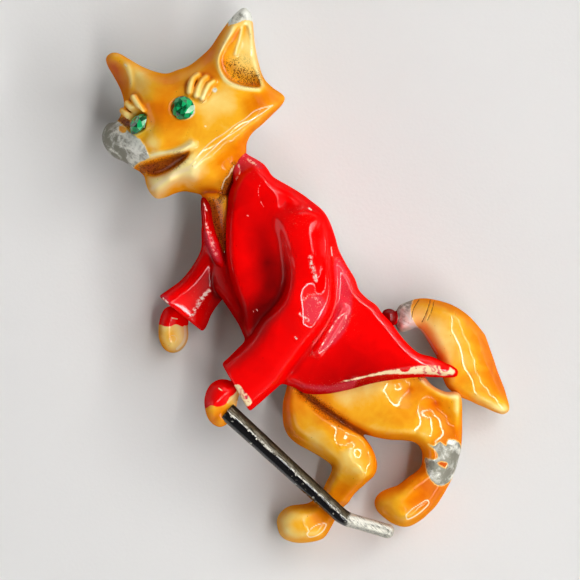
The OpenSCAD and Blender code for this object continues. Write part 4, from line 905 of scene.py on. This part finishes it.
# tail: the brush on its bare root, and the red bead that ran onto it
tailPlan = {
    "cell": 0.13, "block": ((8.4, -17.6, 0.2), (25.4, -1.2, 8.8)),
    "brush": {
        "outline": [(396, 313), (400, 305), (407, 302), (415.7, 299), (423, 298.2), (430, 298.7),
            (439, 300.5), (447.6, 303), (457, 307.3), (465, 312.5), (471, 317.5), (476, 323), (481, 329),
            (485.5, 335), (488.5, 343), (491, 350), (494.5, 360), (498, 371), (501.5, 380), (505, 389),
            (507.5, 397.5), (509.6, 405.5), (509.5, 411), (504, 414.6), (498, 413.3), (492, 411),
            (484, 407.3), (476, 404), (470, 401), (463.6, 398.6), (457, 395), (451, 391), (447, 387),
            (443, 378), (440, 367), (437, 357), (433, 350), (428, 341), (423, 333), (417, 328),
            (408, 331), (400, 332), (396, 326)],
        "top": [(400, 318, 5.4), (413, 314, 5.8), (430, 314, 6.6), (448, 328, 7),
            *bevel([(456, 332, 6.95), (463, 348, 6.9), (469, 363, 6.7)], 27),
            *bevel([(477, 380, 6.35), (486, 392, 5.9), (495, 401, 5.35)], 40, 0.6), (503, 408, 4.8),
            (446, 350, 6.9), (460, 385, 6.3), (463, 316, 6.5)],
        "back": 1.7,
        "edge": [(405, 315, 1.4), (430, 305, 1.6), (440, 345, 1.8), (475, 330, 1.1), (492, 362, 1.2),
            (455, 385, 1.5), (478, 400, 1.1), (502, 390, 0.8), (504, 409, 0.7)],
        "power": 2.2, "side": 0.45, "soft": 0.3,
    },
    "bead": {
        "outline": [(383, 311), (390, 308.5), (396, 312), (397, 320), (393, 326), (386, 324.5),
            (382, 317)],
        "top": 6.4, "back": 2.6, "edge": 0.75, "soft": 0.2, "side": 0.5,
    },
    "paint": {
        "smooth": 0.9,
        "tone": [(430, 310, 0.1), (445, 325, 0.6), (460, 345, 0.6), (472, 365, 0.3), (490, 350, -1.1),
            (500, 385, -1.2), (445, 370, 0.1), (455, 390, 0), (470, 385, 0), (480, 395, 0.2),
            (503, 408, 0.2), (424, 302, -0.3), (470, 325, -0.6), (388, 318, -1.9), (396, 318, -1.6),
            (406, 316, 0.6), (404, 326, 0.5)],
        "bare": [[(380, 296), (400, 296), (414, 297), (411, 304), (410.5, 312), (413, 320), (417, 326),
            (419, 332), (400, 340), (392, 330)]],
        "spill": [[(376, 304), (391, 303), (400, 309), (401, 321), (395, 331), (378, 329)]],
        "islets": [[(378, 306), (390, 305), (397, 311), (398, 320), (393, 328), (380, 327)]],
        "speck": [([(388, 312), (390, 322)], 0.7, 0.75)],
        "fleck": [([(400, 310), (404, 313), (408, 316), (411, 322)], 0.34, 0.7),
            ([(400, 321), (410, 326), (414, 330)], 0.24, 0.9),
            ([(411, 326.5), (420, 329), (427, 337), (433, 346.5), (437, 354)], 0.17, 0.9)],
        "crack": [([(419, 300), (413, 310), (411.5, 319)], 0.1, 1),
            ([(430.5, 300), (427, 311), (422, 322)], 0.11, 1),
            ([(434, 301), (431.5, 311), (427, 321)], 0.1, 0.95), ([(456, 311), (455, 317)], 0.08, 0.8)],
    },
}

enamelPiece("tailEnamel", tailPlan, ("brush", "bead"), "tail", butter)

# paws: orange, with the sleeve's red run over their wrists
nearPawPlan = {
    "cell": 0.11, "block": ((-13.4, -19.2, 4.8), (-5.8, -10.2, 12.0)),
    "paw": {
        "outline": [(212, 383), (207, 390), (204.7, 398), (205, 408), (208, 418), (213, 424), (220, 427),
            (227, 424), (232, 417), (236, 408), (238, 399), (240, 390), (234, 382), (221, 379)],
        "top": [(220, 404, 10.2), (232, 395, 10.1), (214, 415, 9.7)], "back": 6.2, "edge": 1.75,
        "power": 2.1, "side": 0.45,
    },
    "paint": {
        # painted highlights: the tone mark at (234, 400) and the fleck strokes below, glints on the red wrist
        # and a cream patch near the cuff
        "tone": [(212, 415, -0.9), (225, 410, -0.4), (234, 400, 1.6), (222, 420, -0.9), (208, 400, -0.9)],
        "fleck": [([(219, 388), (222, 390)], 0.12, 0.9),
            ([(228, 402), (233, 397), (237, 392)], 0.26, 0.66)],
        "spill": [[(196, 376), (240, 370), (236, 392), (230, 397), (226, 404), (218, 406.5), (211, 405),
            (206, 408), (198, 404)]],
    },
}

farPawPlan = {
    "cell": 0.11, "block": ((-18.8, -10.4, -1.2), (-12.2, -1.6, 6.2)),
    "paw": {
        "outline": [(161, 314), (158.6, 323), (158, 331), (158.6, 339), (162, 347), (167.5, 352),
            (174, 353), (181, 350), (186, 343.5), (188, 336), (187.6, 327), (188, 318), (182, 309),
            (172, 306), (165, 308)],
        "top": [(172, 335, 4.3), (172, 318, 4.5), (180, 345, 3.8)], "back": 0.1, "edge": 1.6,
        "power": 2.1, "side": 0.45,
    },
    "paint": {
        # painted highlights: the tone mark at (184, 340) and the fleck strokes below, a glint on the red
        # wrist, the bright rim on the right and a ring on the ball
        "tone": [(170, 335, 0.1), (184, 340, 2.2), (172, 348, 0.3), (160, 330, 0.6)],
        "fleck": [([(172, 318), (177, 319)], 0.12, 0.9),
            ([(184.5, 327), (185, 336), (182.5, 343), (177, 349)], 0.26, 0.9),
            ([(169, 340), (170.5, 336), (174, 335.5), (176.5, 338.5), (175, 342.5)], 0.1, 0.72)],
        "spill": [[(150, 300), (192, 300), (189, 324), (182, 326.5), (176, 324.5), (168, 327),
            (160, 325), (152, 324)]],
    },
}

enamelPiece("nearPawEnamel", nearPawPlan, ("paw",), "near_paw", butter)
enamelPiece("farPawEnamel", farPawPlan, ("paw",), "far_paw", butter)

# stick: a round rod swept along its line, flattened into a bent foot, with worn black on one flank
stickPlan = {
    "top": (-9.41, -15.70, 8.60), "bend": (4.44, -28.44, 5.955), "tip": (10.36, -30.20, 4.64),
    "bendRound": 0.8, "topRadius": 1.10, "lowRadius": 0.90, "footHalfWidth": 0.84, "footFlat": 0.68,
    "footShare": 0.755, "endShare": 0.03, "slotDepth": 0.16, "slotHalfWidth": 0.24,
    "slotStart": (0.855, 0.865), "slotEnd": (0.968, 0.960), "rings": 220, "sides": 44,
    "black": (0.006, 0.005, 0.006), "silver": (0.62, 0.60, 0.52), "brass": (0.085, 0.066, 0.036),
    "soot": (0.016, 0.012, 0.008), "roughness": 0.08,
}


def stickPath(plan):
    top, bend, tip = (Vector(plan[key]) for key in ("top", "bend", "tip"))
    r = plan["bendRound"]
    before, after = bend + (top - bend).normalized() * r, bend + (tip - bend).normalized() * r
    turn = [before * (1 - t) ** 2 + bend * 2 * t * (1 - t) + after * t * t for t in np.linspace(0, 1, 9)]
    curve = bpy.data.curves.new("stickPath", "CURVE")
    curve.dimensions = "3D"
    line = [top, *turn, tip]
    spline = curve.splines.new("POLY")
    spline.points.add(len(line) - 1)
    for point, place in zip(spline.points, line):
        point.co = (*(place * mm), 1)
    return curve


def stickInputs(plan):  # the tree's named inputs, each with its kind and value
    return {
        "Top Radius": ("Float", plan["topRadius"] * mm), "Low Radius": ("Float", plan["lowRadius"] * mm),
        "Foot Half Width": ("Float", plan["footHalfWidth"] * mm),
        "Foot Flatness": ("Float", plan["footFlat"]), "Foot Share": ("Float", plan["footShare"]),
        "End Share": ("Float", plan["endShare"]), "Slot Depth": ("Float", plan["slotDepth"] * mm),
        "Slot Half Width": ("Float", plan["slotHalfWidth"] * mm), "Rings": ("Int", plan["rings"]),
        "Sides": ("Int", plan["sides"]), "Finish": ("Material", wornBlack(plan)),
    }


def stickTree(inputs, plan):
    tree = bpy.data.node_groups.new("sweptStick", "GeometryNodeTree")
    b = Bench(tree)
    tree.interface.new_socket("Path", in_out="INPUT", socket_type="NodeSocketGeometry")
    for name, (kind, _) in inputs.items():
        tree.interface.new_socket(name, in_out="INPUT", socket_type="NodeSocket" + kind)
    tree.interface.new_socket("Stick", in_out="OUTPUT", socket_type="NodeSocketGeometry")
    given = tree.nodes.new("NodeGroupInput")
    g = {socket.name: Wire(b, socket) for socket in given.outputs if socket.name}

    def vector(operation, *sockets, out=0):
        return b.node("ShaderNodeVectorMath", {"operation": operation}, sockets, out)

    def kept(name, kind="FLOAT"):
        return b.node("GeometryNodeInputNamedAttribute", {"data_type": kind}, {"Name": name})

    rod = b.node("GeometryNodeResampleCurve", {}, {"Curve": g["Path"], "Count": g["Rings"]})
    share = b.node("GeometryNodeSplineParameter", {}, {}, "Factor")
    foot = share.ramp(g["Foot Share"] - 0.03, g["Foot Share"] + 0.07)
    down = (share / g["Foot Share"]).math("MINIMUM", 1.0)
    shaft = g["Top Radius"] + (g["Low Radius"] - g["Top Radius"]) * down
    near = (share * 6.0).math("MINIMUM", 1 - share) / g["End Share"]
    blunt = (1 - (1 - near.math("MINIMUM", 1.0)) ** 2.0).math("MAXIMUM", 0.0004).math("SQRT")
    radius = (shaft + (g["Foot Half Width"] - shaft) * foot) * blunt
    for name, kind, value in (("share", "FLOAT", share), ("foot", "FLOAT", foot), ("reach", "FLOAT", radius),
                              ("spine", "FLOAT_VECTOR", b.node("GeometryNodeInputPosition"))):
        rod = b.node("GeometryNodeStoreNamedAttribute", {"data_type": kind},
                     {"Geometry": rod, "Name": name, "Value": value})
    ring = b.node("GeometryNodeCurvePrimitiveCircle", {}, {"Resolution": g["Sides"], "Radius": 1.0})
    mesh = b.node("GeometryNodeCurveToMesh", {},
                  {"Curve": rod, "Profile Curve": ring, "Scale": kept("reach"), "Fill Caps": True})
    spine, run = kept("spine", "FLOAT_VECTOR"), kept("share")
    offset = vector("SUBTRACT", b.node("GeometryNodeInputPosition"), spine)
    side = vector("MULTIPLY", offset, (1.0, 1.0, 0.0))
    wide = vector("LENGTH", side, out="Value")
    rise = b.node("ShaderNodeSeparateXYZ", {}, [offset], "Z")
    slot = wide.ramp(g["Slot Half Width"] * 1.3, g["Slot Half Width"] * 0.8)
    slot = slot * run.ramp(*plan["slotStart"]) * run.ramp(*plan["slotEnd"]) * rise.ramp(0.0, 0.0002)
    high = rise * (1 - kept("foot") * (1 - g["Foot Flatness"])) - slot * g["Slot Depth"]
    place = vector("ADD", vector("ADD", spine, side), b.node("ShaderNodeCombineXYZ", {}, {"Z": high}))
    mesh = b.node("GeometryNodeSetPosition", {}, {"Geometry": mesh, "Position": place})
    mesh = b.node("GeometryNodeSetShadeSmooth", {}, {"Geometry": mesh})
    mesh = b.node("GeometryNodeRealizeInstances", {}, {"Geometry": mesh})
    mesh = b.node("GeometryNodeSetMaterial", {}, {"Geometry": mesh, "Material": g["Finish"]})
    b.node("NodeGroupOutput", {}, {"Stick": mesh})
    return tree


def wornBlack(plan):
    f = Finish("wornBlackEnamel")
    top, bend = Vector(plan["top"][:2]), Vector(plan["bend"][:2])
    run = (bend - top).normalized()
    across = Vector((-run.y, run.x, 0))
    where = f.node("ShaderNodeVectorMath", {"operation": "DOT_PRODUCT"}, [f.place, tuple(across)], "Value")
    flank = where * (1 / mm) - (top.x * across.x + top.y * across.y)  # millimetres off the middle line
    lean = math.atan2(run.y, run.x)
    long = f.node("ShaderNodeMapping", {"vector_type": "TEXTURE"},
                  {"Vector": f.place, "Rotation": (0.0, 0.0, lean), "Scale": (9.0, 1.0, 1.0)})
    streak = f.noise(3000.0, 3.0, 0.6, 0.0, long)
    grain = f.noise(2600.0, 4.0, 0.7)
    worn = (flank + (streak - 0.5) * 0.9 + (grain - 0.5) * 0.5).ramp(-0.02, 0.10)
    chips = (f.cells(1500.0) + (grain - 0.5) * 0.4).ramp(0.30, 0.20) * f.noise(520.0, 2.0).ramp(0.47, 0.52)
    edge = (grain * 0.6 - flank * 0.7).ramp(0.92, 1.0)
    tip = (f.field("foot") + (grain - 0.5) * 0.5).ramp(0.2, 0.5)
    metal = worn.math("MAXIMUM", chips).math("MAXIMUM", edge).math("MAXIMUM", tip)
    tarnish = (streak + (flank - 0.55) * 0.6).ramp(0.26, 0.44) * (1 - tip)
    middle = flank + (streak - 0.5) * 0.5
    # painted highlight: this ridge band and the silver mixed in along it below paint a broken highlight line
    # along the rod's middle
    ridge = middle.ramp(-0.02, 0.05) * middle.ramp(0.26, 0.14)
    bright = f.mixed(tarnish.math("MAXIMUM", (1 - chips) * (1 - tip) * 0.85), plan["silver"], plan["brass"])
    for dirt in ((flank + (grain - 0.5) * 0.9).ramp(0.62, 0.85) * (1 - tip) * 0.85,
                 f.noise(6000.0, 3.0, 0.7, 0.0, long).ramp(0.50, 0.60) * (0.9 - tip * 0.35),
                 f.noise(3800.0, 3.0, 0.7).ramp(0.58, 0.70) * 0.5):
        bright = f.mixed(dirt, bright, plan["soot"])
    bright = f.mixed(ridge * f.noise(1500.0, 3.0, 0.7).ramp(0.40, 0.52), bright, plan["silver"])
    height = metal * -0.4 + grain * metal * 0.9 + streak * metal * 0.6 + f.noise(500.0, 1.0) * 0.3
    return f.surface({
        "Base Color": f.mixed(metal, plan["black"], bright), "Metallic": metal * 0.3 + tip * 0.3,
        "Roughness": metal * 0.26 + grain * metal * 0.20 + plan["roughness"], "Coat Weight": 1 - metal,
        "Normal": f.bump(height, 0.5, 0.00014)},
        {**glaze, "Coat Roughness": 0.03, "Specular IOR Level": 0.12})


def modelStick(plan):
    path = placed("stickPath", stickPath(plan))
    inputs = stickInputs(plan)
    tree = stickTree(inputs, plan)
    sweep = path.modifiers.new("sweep", "NODES")
    sweep.node_group = tree
    for item in tree.interface.items_tree:
        if item.in_out == "INPUT" and item.name in inputs:
            sweep[item.identifier] = inputs[item.name][1]
    graph = bpy.context.evaluated_depsgraph_get()
    mesh = bpy.data.meshes.new_from_object(
        path.evaluated_get(graph), preserve_all_data_layers=True, depsgraph=graph)
    mesh.name = "stickRod"
    bpy.data.objects.remove(path)
    handOver(placed("stickRod", mesh), "stick")
    print("swept the stick,", len(mesh.polygons), "faces")


modelStick(stickPlan)

# eye stones: the frame's cut stones with their tables split into the facets that show through from below
stonePlan = {
    "seed": 11, "dark": (0.0008, 0.022, 0.009), "green": (0.002, 0.19, 0.055), "bright": (0.008, 0.60, 0.19),
    "spark": (0.62, 0.86, 0.66), "tableInset": 0.35, "insetShares": (0.55, 1.0), "level": 0.44,
    "slope": 0.16, "scatter": 0.34, "sparkLift": 0.45, "sparkFrom": 0.5, "sparkBand": (-0.75, 0.05),
    "tableFacing": 0.97,
}


def greenGlass(plan):
    f = Finish("greenGlass")
    level = f.field("glint")
    colour = f.graded(level, (0.10, plan["dark"]), (0.45, plan["green"]), (0.78, plan["bright"]),
                      (0.97, plan["spark"]))
    colour = f.mixed(f.noise(1500.0, 2.0).ramp(0.45, 0.75) * 0.35, colour, plan["dark"])
    return f.surface({"Base Color": colour, "Roughness": level * 0.02 + 0.03},
                     {"IOR": 1.6, "Coat Weight": 0.4, "Coat Roughness": 0.01})


def cutStone(name, node, finish, plan):
    solid = bmesh.new()
    solid.from_mesh(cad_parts[node].data)
    bmesh.ops.remove_doubles(solid, verts=solid.verts, dist=1e-6)
    bmesh.ops.dissolve_limit(solid, angle_limit=math.radians(2), verts=solid.verts, edges=solid.edges)
    upward = (face for face in solid.faces if face.normal.z > 0.3)
    table = max(upward, key=lambda face: face.calc_area() * face.normal.z)
    normal, middle = table.normal.copy(), table.calc_center_median()
    for share in plan["insetShares"]:
        inset = plan["tableInset"] * share * mm
        bmesh.ops.inset_individual(solid, faces=[table], thickness=inset, use_even_offset=True)
    bmesh.ops.poke(solid, faces=[table])
    solid.normal_update()
    draw = np.random.default_rng(plan["seed"])
    low, high = plan["sparkBand"]
    glints = []
    for face in solid.faces:
        offset = face.calc_center_median() - middle
        right, up = offset.x / mm, offset.y / mm
        # painted light: each facet lighter toward the right with random variation, and the crown's right
        # facets given a painted sparkle
        value = plan["level"] + plan["slope"] * right + draw.uniform(-plan["scatter"], plan["scatter"])
        onCrown = face.normal.dot(normal) < plan["tableFacing"]
        if onCrown and right > plan["sparkFrom"] and low < up < high:
            value += plan["sparkLift"]
        glints.append(min(max(value, 0.0), 1.0))
    mesh = bpy.data.meshes.new(name)
    solid.to_mesh(mesh)
    values = np.array(glints, dtype=np.float32)
    mesh.attributes.new("glint", "FLOAT", "FACE").data.foreach_set("value", values)
    mesh.shade_flat()
    mesh.materials.append(finish)
    handOver(placed(name, mesh), node)
    print("cut", name, len(mesh.polygons), "facets")


glass = greenGlass(stonePlan)
cutStone("nearEyeStone", "eye_stone_near", glass, stonePlan)
cutStone("farEyeStone", "eye_stone_far", glass, stonePlan)

# pin: the frame's own solid with a drawn and worn metal finish
pinPlan = {
    "light": (0.74, 0.70, 0.60), "dark": (0.42, 0.38, 0.30), "soot": (0.12, 0.10, 0.07),
    "metallic": 0.95,
}


def pinMetal(plan):
    f = Finish("pinMetal")
    worn = f.noise(700.0, 4.0, 0.6)
    fine = f.noise(6000.0, 2.0, 0.7)
    colour = f.mixed(worn.ramp(0.40, 0.72), plan["light"], plan["dark"])
    colour = f.mixed(f.noise(2200.0, 3.0, 0.7).ramp(0.60, 0.75) * 0.6, colour, plan["soot"])
    return f.surface({"Base Color": colour, "Roughness": worn * 0.3 + fine * 0.1 + 0.16,
                      "Normal": f.bump(fine * 0.3 + worn * 0.4, 0.4, 0.0001)}, {"Metallic": plan["metallic"]})


def finishPin(node, finish):
    if not node.material_slots:
        node.data.materials.append(finish)
    for holder in node.material_slots:
        holder.material = finish
    print("finished the pin")


finishPin(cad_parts["pin_back"], pinMetal(pinPlan))

# floor, light and camera
stagePlan = {
    "floorSize": 1.4, "floorColour": (0.75, 0.74, 0.724),
    "window": {"turn": -10.0, "rise": 54.0, "distance": 0.62, "size": (0.84, 0.38), "glow": 0.45},
    "border": {"wide": 0.034, "glow": 22.6, "lift": 0.002},
    "fill": {"turn": 62.0, "rise": 40.0, "distance": 0.9, "size": (0.7, 0.5), "glow": 1.25},
    "shade": {"turn": 205.0, "rise": 24.0, "distance": 0.9, "size": (0.8, 0.4), "glow": 1.0},
    "skyHigh": 0.05, "skyLow": 0.19, "cameraHeight": 1.2, "focusHeight": 0.006, "sensor": 36.0,
    "frameWidth": 580, "frameMiddle": (290, 290),
}


def aimed(name, turn, rise, distance, size, glow):
    light = bpy.data.lights.new(name, "AREA")
    light.shape, light.size, light.size_y = "RECTANGLE", size[0], size[1]
    light.energy = glow * math.pi * size[0] * size[1]
    lamp = placed(name, light)
    a, e = math.radians(turn), math.radians(rise)
    lamp.location = Vector((math.cos(e) * math.cos(a), math.cos(e) * math.sin(a), math.sin(e))) * distance
    lamp.rotation_euler = (-lamp.location).to_track_quat("-Z", "Y").to_euler()
    return lamp


def setFloor(plan):
    half = plan["floorSize"] / 2
    mesh = bpy.data.meshes.new("floor")
    corners = [(-half, -half, 0), (half, -half, 0), (half, half, 0), (-half, half, 0)]
    mesh.from_pydata(corners, [], [(0, 1, 2, 3)])
    f = Finish("paleCard")
    tint = f.mixed(f.noise(60.0, 3.0, 0.6), plan["floorColour"], tuple(c * 0.97 for c in plan["floorColour"]))
    normal = f.bump(f.noise(2500.0, 2.0), 0.08, 0.0002)
    mesh.materials.append(f.surface({"Base Color": tint, "Normal": normal}, {"Roughness": 0.85}))
    placed("floor", mesh)


def setLights(plan):  # a soft window with a bright border, two fills and a dim sky
    w, border = plan["window"], plan["border"]
    window = aimed("window", **w)
    turned = window.rotation_euler.to_matrix()
    for name, shift in (("Top", (0, 0.5)), ("Foot", (0, -0.5)), ("Left", (-0.5, 0)), ("Right", (0.5, 0))):
        size = [border["wide"] if step else full for step, full in zip(shift, w["size"])]
        strip = aimed("windowEdge" + name, w["turn"], w["rise"], w["distance"], size, border["glow"])
        offset = Vector((shift[0] * w["size"][0], shift[1] * w["size"][1], border["lift"]))
        strip.location = window.location + turned @ offset
    for key in ("fill", "shade"):
        aimed(key, **plan[key])
    scene.world = bpy.data.worlds.new("studio")
    scene.world.use_nodes = True
    b = Bench(scene.world.node_tree)
    high = b.node("ShaderNodeSeparateXYZ", {}, [b.node("ShaderNodeTexCoord", {}, {}, "Generated")], "Z")
    strength = b.node("ShaderNodeMapRange", {}, {"Value": high, "From Min": 0.15, "From Max": 0.95,
                                                 "To Min": plan["skyLow"], "To Max": plan["skyHigh"]})
    sky = b.node("ShaderNodeBackground", {}, {"Strength": strength})
    b.node("ShaderNodeOutputWorld", {}, {"Surface": sky})


def setCamera(plan):
    lens = bpy.data.cameras.new("camera")
    lens.sensor_width = plan["sensor"]
    lens.lens = plan["sensor"] * plan["cameraHeight"] / (plan["frameWidth"] / drawing["unitsPerMm"] / 1000)
    lens.clip_start, lens.clip_end = 0.05, 10.0
    middle = onPlan([plan["frameMiddle"]])[0] / 1000
    scene.camera = placed("camera", lens)
    scene.camera.location = (middle[0], middle[1], plan["cameraHeight"] + plan["focusHeight"])
    scene.view_settings.view_transform = "Standard"


setFloor(stagePlan)
setLights(stagePlan)
setCamera(stagePlan)
print("stage set")
